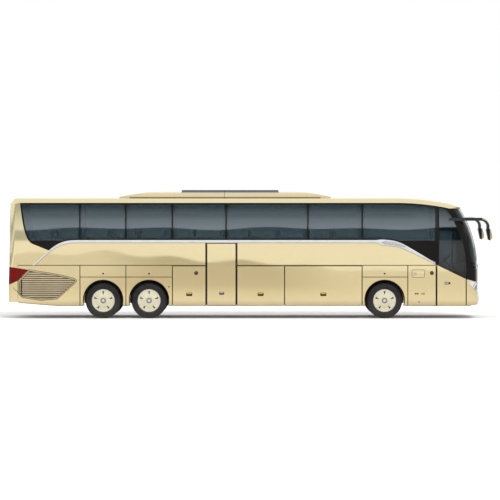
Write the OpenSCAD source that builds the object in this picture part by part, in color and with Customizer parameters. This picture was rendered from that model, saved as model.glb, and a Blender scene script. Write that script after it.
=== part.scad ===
// Three-axle touring coach. Millimetres, +X forward, +Y to the coach's left, +Z up.
// The origin is on the road, half way along and half way across the whole vehicle.

/* [Body] */
// Length from the rear bumper to the front bumper
body_length = 13930; // [13400:10:14800]
// Width over the side walls
body_width = 2550; // [2500:10:2600]
// Height of the roof skin at the middle
roof_height = 3575; // [3500:5:3900]
// Height of the lower edge of the flaps and side panels
sill_height = 370; // [330:5:420]
// Height of the joint between the flaps and the waist panel
waist_height = 1555; // [1500:5:1620]
// Height of the lower edge of the side glass
belt_height = 2303; // [2250:1:2400]
// Thickness of the walls and of the roof
wall = 60; // [40:1:80]
// Depth of the painted roof edge above the side glass
roof_edge = 175; // [160:1:220]
// Distance that the mirrors reach past the front bumper
mirror_reach = 290; // [200:5:400]

/* [Axles] */
// Distance from the front axle to the drive axle
wheelbase = 6930; // [6500:10:7300]
// Distance from the drive axle to the trailing axle
bogie_base = 1350; // [1330:5:1500]
// Distance from the front bumper to the front axle
front_overhang = 2860; // [2750:10:3000]
// Radius of the tyres
tyre_radius = 522; // [490:1:540]
// Width of a tyre
tyre_width = 295; // [275:1:315]
// Distance from the middle of the coach to the middle of an outer tyre
half_track = 1075; // [1040:1:1085]
// Distance between the middles of twin tyres
twin_spacing = 350; // [330:1:370]
// Radius of the wheel arches
arch_radius = 585; // [570:1:620]
// Distance from the middle of the coach to a kingpin
kingpin_y = 900; // [860:1:910]

/* [Doors and flaps] */
// Height of the top of the front door
front_door_top = 2640; // [2500:10:2750]
// Thickness of a door or flap
leaf = 45; // [35:1:50]
// Gap round a door or flap
gap = 8; // [6:1:12]
// Length of a luggage flap's lift arms
lift_arm = 680; // [600:5:720]
// Gap round the two passenger doors
door_gap = 16; // [14:1:22]
// Distance from the middle door's column to its hinge pin, along the coach
mid_arm = 510; // [480:5:540]
// Distance from the front door's column to its hinge pin, along the coach
front_arm = 400; // [380:5:420]

/* [Glass] */
// Thickness of a window pane
glass = 8; // [5:1:10]
// Depth of the glass face behind the wall's face
glass_recess = 5; // [3:1:8]
// Width of the wall behind the edge of a pane
glass_land = 50; // [40:1:60]

/* [Seats] */
// Distance between seat rows
seat_pitch = 830; // [750:5:950]
// Number of seat rows on the left
seat_rows = 13; // [10:1:13]

/* [Hidden] */
$fn = 48;
smooth = 360;
half_width = body_width / 2;
inner_y = half_width - wall;
x_rear = -(body_length + mirror_reach) / 2;
x_front = x_rear + body_length;
front_axle_x = x_front - front_overhang;
drive_axle_x = front_axle_x - wheelbase;
trailing_axle_x = drive_axle_x - bogie_base;
touch = 0.3;

// Nose: a vertical mask up to nose_height and then one arc up to the roof.
bumper_reach = 30;
nose_x = x_front - bumper_reach;
nose_radius = 3450;
nose_height = 1420;
bow_radius = 5000;
corner_radius = 260;
corner_y = half_width - corner_radius;
bow_to_corner = sqrt(pow(bow_radius - corner_radius, 2) - pow(corner_y, 2));
nose_depth = bow_radius - bow_to_corner;
bow_angle = atan(corner_y / bow_to_corner);
pillar_depth = 270;

glass_top = roof_height - roof_edge;
// Roof: flat, then a long arc and a short arc down to the windscreen.
crown_radius = 14000;
edge_radius = 150;
edge_y = half_width - edge_radius;
edge_z = roof_height - crown_radius + sqrt(pow(crown_radius - edge_radius, 2) - pow(edge_y, 2));
slope_radius = 8000;
brow_radius = 2000;
slope_start_x = x_front - 2540;
slope_angle = 10.4;
brow_height = glass_top - 165;
brow_angle = 27;
slope_centre = [slope_start_x, roof_height - slope_radius];
brow_centre = slope_centre + (slope_radius - brow_radius) * [sin(slope_angle), cos(slope_angle)];

// Rear end: the face leans forward above the bumper and turns into the roof.
rear_corner = edge_radius;
rear_turn = roof_edge + 5;
rear_lean = 1.5;
bumper_top = 985;
lean_height = roof_height - rear_turn - bumper_top;
lean_reach = lean_height * tan(rear_lean);
turn_x = x_rear + lean_reach + rear_turn * cos(rear_lean);
turn_z = roof_height - rear_turn;

// Stations along the side, each from the axle or the end that it goes with.
tail_x = x_rear + 281;
engine_panel_x = trailing_axle_x - 681;
rear_bay_x = drive_axle_x + 687;
mid_door_x0 = rear_bay_x + 993;
mid_door_x1 = mid_door_x0 + 897;
bay_split_x = mid_door_x1 + 1410;
front_bay_x = front_axle_x - 662;
fuel_panel_x = front_axle_x + 681;
front_door_x0 = x_front - 1340;
front_door_x1 = x_front - 453;
window_x = [engine_panel_x, drive_axle_x - 680, rear_bay_x, mid_door_x0 + 586, bay_split_x + 686, front_bay_x];
door_edge_radius = nose_radius - (nose_x - front_door_x1);

// Floors
bay_floor_z = 460;
bay_floor = 60;
deck_z = 1460;
deck = 60;
platform_z = 980;
deck_front_x = fuel_panel_x + 90;
rail_z = 800;
rail_y = 480;
arch_centre_z = tyre_radius + 23;

// Flaps: right flaps first, then left ones, each [rear end, front end, side].
RIGHT = -1;
LEFT = 1;
FLAP_NAMES = ["right_rear_flap", "right_middle_flap", "right_front_flap",
              "left_rear_flap", "left_middle_flap", "left_front_flap"];
flap_span = [[rear_bay_x, mid_door_x0, RIGHT], [mid_door_x1, bay_split_x, RIGHT], [bay_split_x, front_bay_x, RIGHT],
             [rear_bay_x, mid_door_x1, LEFT], [mid_door_x1, bay_split_x, LEFT], [bay_split_x, front_bay_x, LEFT]];
arm_inset = 130;
// The right middle flap keeps its arms ahead of the open middle door.
function arm_x(i) = [flap_span[i][0] + (i == 1 ? 990 : arm_inset), flap_span[i][1] - arm_inset];
lift_pivot_y = half_width - 145;
lift_pivot_z = 1300;
lift_pin_z = lift_pivot_z - lift_arm;
tube_radius = 18;
pin_radius = 12;
running = 0.1;

// Doors: the column stands inside the front edge, and the arms bend round the door frame.
mid_column_back = 207;
front_column_back = 407;
column_y = inner_y - 100;
door_pin_y = inner_y - 60;
column_radius = 22;
elbow_angle = 32;
elbow_reach = 212;
arm_thick = 40;
mid_door_top = belt_height - 85;
front_arm_z = [1250, front_door_top - 42];
mid_arm_z = [1000, 2000];

// Wheels
rim_radius = 286;
hub_bore = 55;
spindle_radius = hub_bore - running;
spindle_end = half_track + 95;

WHEEL_NAMES = ["right_front", "left_front", "right_drive", "left_drive", "right_trailing", "left_trailing"];
wheel_place = [[front_axle_x, RIGHT], [front_axle_x, LEFT], [drive_axle_x, RIGHT],
               [drive_axle_x, LEFT], [trailing_axle_x, RIGHT], [trailing_axle_x, LEFT]];

// ---------- helpers ----------
function bezier(p, t) = pow(1 - t, 3) * p[0] + 3 * t * pow(1 - t, 2) * p[1] + 3 * t * t * (1 - t) * p[2] + pow(t, 3) * p[3];
function curve(p, steps = 10) = [for (i = [0 : steps]) bezier(p, i / steps)];

module box(x0, x1, y0, y1, z0, z1) {
    translate([x0, y0, z0]) cube([x1 - x0, y1 - y0, z1 - z0]);
}
// A shape drawn in X and Z, as a plate between two values of Y.
module plate_xz(y0, y1) {
    translate([0, y1, 0]) rotate([90, 0, 0]) linear_extrude(y1 - y0) children();
}
// A shape drawn in Y and Z, as a bar between two values of X.
module bar_yz(x0, x1) {
    translate([x0, 0, 0]) rotate([90, 0, 90]) linear_extrude(x1 - x0) children();
}
// A shape drawn as radius and Y, turned about a line along Y, from angle a0 to a1 above +X.
module turn_about_y(centre, a0, a1) {
    translate([centre[0], 0, centre[1]]) rotate([90, 0, 0]) rotate([0, 0, a0])
        rotate_extrude(angle = a1 - a0, $fn = smooth) children();
}
// Geometry drawn on the right of the coach, at negative Y.
module on_side(side) {
    if (side == RIGHT) children();
    else mirror([0, 1, 0]) children();
}
module bar_along_x(x0, x1, y, z, r) {
    translate([x0, y, z]) rotate([0, 90, 0]) cylinder(h = x1 - x0, r = r);
}
module bar_along_y(x, y0, y1, z, r) {
    translate([x, y1, z]) rotate([90, 0, 0]) cylinder(h = y1 - y0, r = r);
}

// ---------- outlines ----------
// The front end seen from above, its face at x_face, drawn in by inset.
module front_plan(x_face, inset) {
    bow_x = x_face - bow_radius;
    corner_x = bow_x + bow_to_corner;
    back_x = corner_x - 700;
    translate([back_x, -(half_width - inset)]) square([corner_x - back_x, 2 * (half_width - inset)]);
    for (s = [-1, 1])
        translate([corner_x, s * corner_y]) circle(corner_radius - inset, $fn = 96);
    intersection() {
        translate([bow_x, 0]) circle(bow_radius - inset, $fn = 2 * smooth);
        polygon([[bow_x, 0], [bow_x + 2 * bow_radius, -2 * bow_radius * tan(bow_angle)],
                 [bow_x + 2 * bow_radius, 2 * bow_radius * tan(bow_angle)]]);
    }
}
// The wall of the front end seen from above, from one inset to a deeper one, back to depth behind the face.
module front_band(x_face, inset0, inset1, depth) {
    intersection() {
        difference() {
            front_plan(x_face, inset0);
            front_plan(x_face, inset1);
        }
        translate([x_face - depth, -half_width]) square([depth + 1, body_width]);
    }
}
// The same wall, as radius and Y for turn_about_y.
module nose_band(inset0, inset1, depth) {
    translate([nose_radius - nose_x, 0]) front_band(nose_x, inset0, inset1, depth);
}
nose_centre = [nose_x - nose_radius, nose_height];

// Side view of everything under the roof's lower edge, drawn in by inset.
module under_roof(inset) {
    end_x = x_front + 100;
    brow_x = slope_centre[0] + (slope_radius - roof_edge - inset) * sin(slope_angle);
    translate([x_rear - 100, 0]) square([slope_start_x - x_rear + 100, glass_top - inset]);
    intersection() {
        translate(slope_centre) circle(slope_radius - roof_edge - inset, $fn = 2 * smooth);
        translate([slope_start_x - 1, 0]) square([end_x - slope_start_x, glass_top]);
        // the short arc stands a hair outside the long one, so that the two cross cleanly
        union() {
            translate([x_rear, 0]) square([brow_x - x_rear, glass_top]);
            translate(brow_centre) circle(brow_radius - roof_edge - inset + 0.05, $fn = 2 * smooth);
        }
    }
    translate([slope_start_x, 0]) square([end_x - slope_start_x, brow_height - inset]);
}
// Side view of everything behind an arc about the nose's centre, and behind the matching upright below it.
module behind_nose(radius) {
    translate([x_rear - 100, 0]) square([nose_centre[0] + radius - x_rear + 100, nose_height]);
    intersection() {
        translate(nose_centre) circle(radius, $fn = 2 * smooth);
        translate([nose_centre[0], nose_height - 1]) square([radius + 1, radius]);
    }
    translate([x_rear - 100, 0]) square([nose_centre[0] - x_rear + 101, roof_height + 100]);
}

// Side glass: its outline is drawn in by inset.
function tail_curve(inset) = curve([[x_rear + 343 + inset, glass_top - inset], [x_rear + 410 + inset, 2850],
    [x_rear + 470 + inset, 2300 + inset], [x_rear + 713 + inset, 2188 + inset]]);
function tail_sweep(inset) = curve([[x_rear + 1195, 1996 + 1.3 * inset], [x_rear + 1420, 2202 + 1.3 * inset],
    [x_rear + 1660, belt_height + inset], [x_rear + 1960, belt_height + inset]]);
function front_sweep(inset) = curve([[x_front - 2770, belt_height + inset], [x_front - 2400, belt_height - 13 + inset],
    [x_front - 2200, 2120 + inset], [front_door_x0, 1612 + 1.15 * inset]]);
module side_glass_zone(inset) {
    intersection() {
        polygon(concat(tail_curve(inset), tail_sweep(inset), front_sweep(inset),
                       [[front_door_x0, roof_height], [x_rear + 343 + inset, roof_height]]));
        under_roof(inset);
    }
}
// Cab glass beside the driver, and the same line on the front door.
cab_line_z0 = 1564;
cab_line_z1 = 1162;
cab_line_x0 = front_door_x0 + 30;
cab_line_x1 = front_door_x1 - 23;
cab_bar_z = front_door_top;
module cab_glass_zone(inset) {
    intersection() {
        polygon([[cab_line_x0 + inset, cab_line_z0 + 1.1 * inset], [cab_line_x1 + 30, cab_line_z1 - 15 + 1.1 * inset],
                 [cab_line_x1 + 30, roof_height], [cab_line_x0 + inset, roof_height]]);
        under_roof(inset);
        behind_nose(door_edge_radius - 10 - inset);
    }
}
module strip(x0, x1) {
    translate([x0, 0]) square([x1 - x0, roof_height + 200]);
}
module level(z0, z1) {
    translate([x_rear - 100, z0]) square([body_length + 400, z1 - z0]);
}

// ---------- root structure ----------
module underframe() color("dimgray") {
    rear_end = x_rear + 200;
    rail_front = nose_x - wall - bow_radius + sqrt(pow(bow_radius, 2) - pow(rail_y + 60, 2)) - touch;
    post_y = inner_y - 45;
    // luggage bay floor, its two bulkheads and the posts at its panel joints
    box(rear_bay_x, front_bay_x, -post_y + touch, post_y - touch, bay_floor_z - bay_floor, bay_floor_z);
    for (x = [rear_bay_x, front_bay_x - 50]) box(x, x + 50, -500, 500, bay_floor_z + touch, deck_z - deck);
    for (s = [-1, 1], x = [rear_bay_x, mid_door_x1, bay_split_x, front_bay_x]) side_post(x, s);
    side_post(mid_door_x0, RIGHT);
    // rear frame
    for (s = [-1, 1]) {
        box(rear_end, rear_bay_x - touch, s * rail_y - 40, s * rail_y + 40, rail_z, rail_z + 120);
        for (x = [x_rear + 220, engine_panel_x - 29]) deck_prop(x, s);
        side_post_on_rail(engine_panel_x, s);
        box(x_rear + 260, x_rear + 320, min(s * rail_y, s * inner_y), max(s * rail_y, s * inner_y), rail_z, rail_z + 60);
    }
    for (x = [rear_end, engine_panel_x - 29]) crossmember(x);
    tow_eye(x_rear + 100, x_rear + 201, x_rear + 150);
    jacking_pad(engine_panel_x + 1);
    // front frame: the right rail stops at the front stairs and goes on ahead of them
    for (s = [-1, 1]) {
        for (span = [[front_bay_x + touch, s < 0 ? front_door_x0 - 62 : rail_front], [front_beam_x, rail_front]])
            box(span[0], span[1], s * rail_y - 40, s * rail_y + 40, rail_z, rail_z + 120);
        deck_prop(front_bay_x + 30, s);
        side_post_on_rail(fuel_panel_x, s);
        side_post_on_rail(front_door_x0 - 100, s);
    }
    side_post_on_rail(front_door_x1 - 60, LEFT);
    for (x = [front_bay_x + 30, front_axle_x + 700, front_door_x0 - 122, front_beam_x]) crossmember(x);
    tow_eye(x_front - 421, x_front - 320, x_front - 370);
    jacking_pad(front_axle_x + 730);
}
module crossmember(x) {
    box(x, x + 60, -rail_y, rail_y, rail_z, rail_z + 120);
}
// Prop between a rail and the deck.
module deck_prop(x, s) {
    box(x, x + 60, s * rail_y - 40, s * rail_y + 40, rail_z + 119, deck_z - deck);
}
pad_drop = 25;
module jacking_pad(x) {
    box(x - 30, x + 30, -70, 70, rail_z - pad_drop, rail_z + 1);
}
// Plate with a hole for a towing pin.
eye_radius = 20;
module tow_eye(x0, x1, x) {
    difference() {
        box(x0, x1, -60, 60, rail_z + 10, rail_z + 60);
        translate([x, 0, rail_z]) cylinder(h = 100, r = eye_radius);
    }
}
module side_post(x, s) {
    near = s * (inner_y - 45);
    far = s * inner_y;
    box(x - 25, x + 25, min(near, far), max(near, far), bay_floor_z - bay_floor, deck_z - deck);
}
module side_post_on_rail(x, s) {
    near = s * (inner_y - 45);
    far = s * inner_y;
    box(x - 25, x + 25, min(near, far), max(near, far), rail_z, x > fuel_panel_x ? rail_z + 120 : deck_z - deck);
    box(x - 25, x + 25, min(s * rail_y, far), max(s * rail_y, far), rail_z, rail_z + 60);
}

well_y = 300;
module cabin_floor() color("darkslategray") {
    difference() {
        box(x_rear + rear_corner + 12, deck_front_x, -inner_y, inner_y, deck_z - deck, deck_z);
        box(mid_door_x0 + 40, mid_door_x1 - 40, -inner_y - 1, -well_y, deck_z - deck - 1, deck_z + 1);
    }
    // cross wall between the high deck and the cab
    box(deck_front_x - 1, deck_front_x + 40, -inner_y, inner_y, platform_z - 60, deck_z);
    // cab platform, full width behind the front stairs
    box(deck_front_x + 39, front_door_x0 - 62, -inner_y, inner_y, platform_z - 60, platform_z);
    box(front_door_x0 - 63, front_door_x1 + 50, -well_y + touch, inner_y, platform_z - 60, platform_z);
    box(front_door_x1 + 49, front_door_x1 + 120, -well_y + touch, inner_y - 20, platform_z - 60, platform_z);
    // bearing brackets of the flaps' lift tubes
    for (i = [0 : 5], x = [arm_x(i)[0] - 40, arm_x(i)[1] + 28])
        on_side(flap_span[i][2]) difference() {
            box(x, x + 12, -lift_pivot_y - 35, -lift_pivot_y + 35, lift_pivot_z - 35, deck_z - deck + 1);
            bar_along_x(x - 1, x + 13, -lift_pivot_y, lift_pivot_z, tube_radius + running);
        }
}

tread_rise = (deck_z - bay_floor_z) / 5;
front_tread = 400;
front_beam_x = x_front - 480;
front_rise = (platform_z - front_tread) / 3;
module entrance_steps() color("gray") {
    // middle stairs, up from the door to the deck
    for (i = [0 : 3])
        box(mid_door_x0 + 40, mid_door_x1 - 40, -inner_y + 50 + 210 * i, -well_y,
            bay_floor_z + tread_rise * i, bay_floor_z + tread_rise * (i + 1));
    // front stairs, up from the door to the cab platform
    for (i = [0 : 2])
        box(front_door_x0 - 60, front_beam_x - touch, -inner_y + 50 + 260 * i, -well_y,
            front_tread + front_rise * i - (i == 0 ? 40 : 0), front_tread + front_rise * (i + 1));
    // steps from the cab platform to the passenger deck
    for (i = [0 : 1])
        box(deck_front_x + 40, deck_front_x + 600 - 280 * i, -well_y, well_y, platform_z + 160 * i, platform_z + 160 * (i + 1));
}

module side_wall(side) color("wheat") on_side(side) {
    if (side == RIGHT) {
        column_bracket(mid_door_x1 - mid_column_back, mid_door_top + door_gap + 20);
        column_bracket(front_door_x1 - front_column_back, front_door_top + door_gap + 20);
    }
    difference() {
        plate_xz(-half_width, -inner_y) difference() {
            intersection() {
                translate([tail_x - gap / 2 + 0.5, 0]) square([body_length, roof_height]);
                under_roof(touch);
                behind_nose(door_edge_radius + 5.5);
                level(waist_height, roof_height);
            }
            // middle and front door openings
            if (side == RIGHT) {
                translate([mid_door_x0, 0]) square([mid_door_x1 - mid_door_x0, mid_door_top + door_gap]);
                translate([front_door_x0, 0]) square([body_length, front_door_top + door_gap]);
            }
            // openings behind the panes, between the pillars
            for (i = [0 : len(window_x)])
                intersection() {
                    side_glass_zone(glass_land);
                    strip((i == 0 ? x_rear : window_x[i - 1] + glass_land),
                          (i == len(window_x) ? front_door_x0 - 60 : window_x[i] - glass_land));
                }
            intersection() {
                cab_glass_zone(glass_land);
                level(cab_bar_z + glass_land, roof_height);
            }
            if (side == LEFT)
                intersection() {
                    cab_glass_zone(glass_land);
                    level(0, cab_bar_z - glass_land);
                }
        }
        // rebate that the panes lie in
        plate_xz(-half_width - 1, -half_width + glass_recess + glass) union() {
            side_glass_zone(0);
            intersection() {
                cab_glass_zone(0);
                level(side == RIGHT ? front_door_top + door_gap + 12 : 0, roof_height);
            }
        }
    }
}
// Plate that holds the top of a door's column.
module column_bracket(x, z) {
    box(x - 30, x + 30, -inner_y - 1, -column_y + 30, z + touch, z + 20);
}
module arch_cut(x) {
    plate_xz(-half_width - 1, -inner_y + 1) {
        translate([x, arch_centre_z]) circle(arch_radius, $fn = 96);
        translate([x - arch_radius, 0]) square([2 * arch_radius, arch_centre_z]);
    }
}
rear_sill_rise = 115;
module skirt(x0, x1) {
    plate_xz(-half_width, -inner_y) difference() {
        translate([x0 + gap / 2, sill_height]) square([x1 - x0 - gap, waist_height - gap / 2 - sill_height]);
        polygon([[x_rear, sill_height - 1], [x_rear + 1440, sill_height - 1], [x_rear + 1440, sill_height],
                 [x_rear, sill_height + rear_sill_rise]]);
    }
}
// The grille opening in the engine bay's side panel.
function grille_outline(inset) = [
    [x_rear + 612 + 0.3 * inset, 1440 - 1.1 * inset], [engine_panel_x - 604, 1295 - inset], [engine_panel_x - 190 - inset, 1192 - inset],
    [engine_panel_x - 86 - 1.1 * inset, 1130], [engine_panel_x - 127 - inset, 1047 + 0.2 * inset], [engine_panel_x - 669 - 0.3 * inset, 568 + inset],
    [x_rear + 964, 526 + inset], [x_rear + 405 + 0.4 * inset, 609 + inset], [tail_x + 4 + inset, 724 + 0.5 * inset],
    [tail_x + 4 + inset, 1100 - 0.3 * inset]];
module side_panels() color("wheat") {
    for (side = [RIGHT, LEFT]) on_side(side) {
        difference() {
            skirt(tail_x, engine_panel_x);
            plate_xz(-half_width - 1, -inner_y + 1) polygon(grille_outline(30));
            plate_xz(-half_width - 1, -half_width + 25) polygon(grille_outline(0));
            plate_xz(-half_width - 1, -half_width + 30) polygon(lamp_outline(-2));
        }
        difference() {
            skirt(engine_panel_x, rear_bay_x);
            arch_cut(trailing_axle_x);
            arch_cut(drive_axle_x);
        }
        difference() {
            skirt(front_bay_x, fuel_panel_x);
            arch_cut(front_axle_x);
        }
        skirt(fuel_panel_x, front_door_x0);
    }
    // driver's side panel, where the other side has its door
    on_side(LEFT) plate_xz(-half_width, -inner_y) polygon([
        [front_door_x0 + gap / 2, sill_height], [front_door_x1, sill_height + 12], [front_door_x1, cab_line_z1 - 10],
        [cab_line_x0, waist_height - gap / 2], [front_door_x0 + gap / 2, waist_height - gap / 2]]);
}
module side_grilles() color("tan") {
    for (side = [RIGHT, LEFT]) on_side(side)
        plate_xz(-half_width + 8, -half_width + 25) polygon(grille_outline(3));
}

// Roof section drawn as height and Y.
module roof_section(inset) {
    intersection() {
        translate([roof_height - crown_radius, 0]) circle(crown_radius - inset, $fn = 4 * smooth);
        translate([glass_top - 400, -half_width]) square([600, body_width]);
        polygon([[roof_height - crown_radius, 0],
                 [roof_height + 100, -edge_y * (crown_radius + 100) / (edge_z - roof_height + crown_radius)],
                 [roof_height + 100, edge_y * (crown_radius + 100) / (edge_z - roof_height + crown_radius)]]);
    }
    for (s = [-1, 1]) translate([edge_z, s * edge_y]) circle(edge_radius - inset, $fn = 96);
    translate([glass_top - 400, -(half_width - inset)])
        square([edge_z - glass_top + 400, 2 * (half_width - inset)]);
}
module roof_band() {
    difference() {
        roof_section(0);
        roof_section(wall);
        translate([glass_top - 500, -half_width - 1]) square([500, body_width + 2]);
    }
}
lip_x = nose_x - nose_radius + sqrt(pow(nose_radius, 2) - pow(brow_height + 25 - nose_height, 2));
// The roof's front edge seen from above, in short straight steps.
lip_half = concat(
    [for (i = [0 : 4]) let (a = bow_angle * i / 4) [lip_x - bow_radius + bow_radius * cos(a), bow_radius * sin(a)]],
    [for (i = [1 : 4]) let (a = bow_angle + (90 - bow_angle) * i / 4)
        [lip_x - bow_radius + bow_to_corner + corner_radius * cos(a), corner_y + corner_radius * sin(a)]],
    [[lip_x - nose_depth - 50, half_width + 20]]);
lip_points = concat(lip_half, [for (i = [len(lip_half) - 1 : -1 : 1]) [lip_half[i][0], -lip_half[i][1]]]);
// The roof is three panels with a thin joint between them.
roof_joint = 0.5;
module roof() color("wheat") {
    difference() {
        union() {
            translate([turn_x, 0, 0]) rotate([0, 90, 0]) rotate([0, 0, 180])
                linear_extrude(slope_start_x - turn_x - roof_joint) roof_band();
            turn_about_y([turn_x, turn_z], 90, 180 - rear_lean)
                translate([rear_turn - roof_height, 0]) roof_band();
            turn_about_y(slope_centre, 90 - slope_angle + asin(roof_joint / slope_radius), 90)
                translate([slope_radius - roof_height, 0]) roof_band();
            turn_about_y(brow_centre, 90 - brow_angle, 90 - slope_angle)
                translate([brow_radius - roof_height, 0]) roof_band();
        }
        box(lip_x - 700, lip_x + 500, -half_width - 1, half_width + 1, brow_height - 500, brow_height);
        translate([0, 0, brow_height - 100]) linear_extrude(600) difference() {
            translate([lip_x - nose_depth - 40, -half_width - 10]) square([1000, body_width + 20]);
            polygon(lip_points);
        }
    }
}

// Rear end seen from above.
module rear_plan(inset) {
    translate([x_rear + rear_corner, -(half_width - inset)]) square([400, 2 * (half_width - inset)]);
    translate([x_rear + inset, -(half_width - rear_corner)]) square([rear_corner, 2 * (half_width - rear_corner)]);
    for (s = [-1, 1])
        translate([x_rear + rear_corner, s * (half_width - rear_corner)]) circle(rear_corner - inset, $fn = 96);
}
module rear_band(inset) {
    difference() {
        rear_plan(0);
        rear_plan(inset);
        translate([tail_x - gap / 2, -half_width - 1]) square([500, body_width + 2]);
    }
}
// The leaning wall over the bumper, before its openings are cut.
module rear_shell(inset, outer = 0) {
    translate([x_rear, 0, bumper_top]) rotate([0, rear_lean, 0]) translate([-x_rear, 0, -20])
        linear_extrude(lean_height / cos(rear_lean) + 20 - rear_turn * sin(rear_lean)) difference() {
            rear_plan(outer);
            rear_plan(inset);
        }
}
module leaning() {
    translate([x_rear, 0, bumper_top]) rotate([0, rear_lean, 0]) translate([-x_rear, 0, -bumper_top]) children();
}
lid_z0 = 640;
lid_z1 = 1900;
lid_y = 880;
rear_glass_z0 = 2330;
rear_glass_z1 = 3290;
rear_glass_y = 1010;
function lamp_outline(inset) = [[x_rear - 1, 1514 + 10], [x_rear + 591 - inset, 1431 - inset / 2],
    [tail_x, 1109 + inset], [x_rear - 1, 1005 + inset - 18]];
module rear_wall() color("wheat") {
    difference() {
        rear_shell(wall);
        box(tail_x - gap / 2, x_rear + 900, -half_width - 1, half_width + 1, 0, roof_height);
        box(x_rear - 100, x_rear + 900, -half_width - 1, half_width + 1, bumper_top - 200, bumper_top);
        leaning() {
            box(x_rear - 1, x_rear + wall + 1, -lid_y - gap, lid_y + gap, bumper_top - 1, lid_z1 + gap);
            box(x_rear - 1, x_rear + wall + 1, -rear_glass_y + glass_land, rear_glass_y - glass_land,
                rear_glass_z0 + glass_land, rear_glass_z1 - glass_land);
            box(x_rear - 1, x_rear + glass_recess + glass, -rear_glass_y, rear_glass_y, rear_glass_z0, rear_glass_z1);
        }
        lamp_pocket();
    }
}
lamp_depth = 30;
module lamp_pocket() {
    for (side = [RIGHT, LEFT]) on_side(side)
        intersection() {
            rear_shell(lamp_depth, -3);
            plate_xz(-half_width - 5, -lid_y - 60) polygon(lamp_outline(-2));
        }
}
module rear_bumper() color("wheat") {
    z0 = sill_height + rear_sill_rise;
    difference() {
        translate([0, 0, z0]) linear_extrude(bumper_top - touch - z0) rear_band(wall);
        box(x_rear - 1, x_rear + 200, -lid_y - gap, lid_y + gap, lid_z0 - gap, bumper_top);
    }
}

// ---------- front end ----------
mask_z0 = 1162;
mask_z1 = 1020;
glass_a0 = 0.6;
screen_top = brow_height - 18;
module mask_line_cut() {
    plate_xz(-half_width - 1, half_width + 1) polygon([[front_door_x1 - 10, 0], [x_front + 50, 0], [x_front + 50, mask_z1],
        [front_door_x1 - 10, mask_z0]]);
}
module above(z) {
    box(nose_x - 2600, x_front + 10, -half_width - 10, half_width + 10, z, roof_height + 100);
}
module windscreen_surround() color("black") {
    seam = nose_x - front_door_x1 - 6;
    difference() {
        union() {
            difference() {
                translate([0, 0, mask_z1 - 40]) linear_extrude(nose_height - mask_z1 + 40) front_band(nose_x, 0, wall, seam);
                mask_line_cut();
            }
            turn_about_y(nose_centre, 0, 38) nose_band(0, wall, seam);
        }
        above(brow_height - touch);
        // rebate and opening for the windscreen
        difference() {
            turn_about_y(nose_centre, glass_a0, 38) nose_band(-5, glass_recess + glass + touch, pillar_depth);
            above(screen_top);
        }
        difference() {
            turn_about_y(nose_centre, glass_a0 + 0.8, 38) nose_band(-5, wall + 5, pillar_depth - 55);
            above(screen_top - 40);
        }
    }
}
module windscreen() color([0.2, 0.25, 0.28, 0.5]) {
    difference() {
        turn_about_y(nose_centre, glass_a0 + 0.1, 38) nose_band(glass_recess, glass_recess + glass, pillar_depth - 3);
        above(screen_top - 3);
    }
}
lamp_y0 = 640;
lamp_z0 = 745;
lamp_z1 = 1085;
module headlamp_zone(grow) {
    for (s = [-1, 1]) intersection() {
        box(nose_x - 330 - grow, x_front + 10, s > 0 ? lamp_y0 - grow : -half_width - 5, s > 0 ? half_width + 5 : -lamp_y0 + grow,
            lamp_z0 - grow, lamp_z1 + grow);
        plate_xz(-half_width - 5, half_width + 5) polygon([[nose_x - 330 - grow, lamp_z1 + grow], [x_front + 10, lamp_z1 - 40 + grow],
            [x_front + 10, lamp_z0 - grow], [nose_x - 80 - grow, lamp_z0 - grow], [nose_x - 330 - grow, lamp_z1 - 60 - grow]]);
    }
}
// Height of the joint between the bumper and the panel over it.
bumper_step = 736;
module front_bumper() color("wheat") {
    difference() {
        union() {
            translate([0, 0, bumper_step + touch]) linear_extrude(500) front_band(nose_x, 0, wall, nose_x - front_door_x1 - gap);
            intersection() {
                translate([0, 0, sill_height]) linear_extrude(bumper_step - sill_height)
                    front_band(x_front, 0, wall + bumper_reach, x_front - front_door_x1 - gap);
                plate_xz(-half_width - 1, half_width + 1)
                    polygon([[front_door_x1, sill_height], [x_front, sill_height + 45], [x_front, bumper_step + 5],
                             [front_door_x1, bumper_step + 5]]);
            }
        }
        plate_xz(-half_width - 1, half_width + 1) polygon([[front_door_x1 - 10, 1300], [x_front + 50, 1300],
            [x_front + 50, mask_z1 - 5], [front_door_x1 - 10, mask_z0 - 5]]);
        headlamp_zone(3);
    }
}
module headlamps() color("white") {
    difference() {
        intersection() {
            headlamp_zone(2.7);
            translate([0, 0, lamp_z0 - 3]) linear_extrude(400) front_band(nose_x, -5, wall, 400);
        }
        plate_xz(-half_width - 5, half_width + 5) polygon([[front_door_x1 - 10, 1300], [x_front + 50, 1300],
            [x_front + 50, mask_z1 - 4], [front_door_x1 - 10, mask_z0 - 4]]);
    }
}
module tail_lamps() color("darkred") {
    for (side = [RIGHT, LEFT]) on_side(side) {
        intersection() {
            rear_shell(lamp_depth - touch);
            plate_xz(-half_width - 1, -lid_y - 62) polygon(lamp_outline(0));
            box(x_rear - 1, tail_x - gap / 2, -half_width, 0, bumper_top, roof_height);
        }
        intersection() {
            plate_xz(-half_width, -half_width + lamp_depth - touch) polygon(lamp_outline(0));
            box(tail_x + gap / 2, x_rear + 800, -half_width, 0, bumper_top, roof_height);
        }
    }
}

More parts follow.
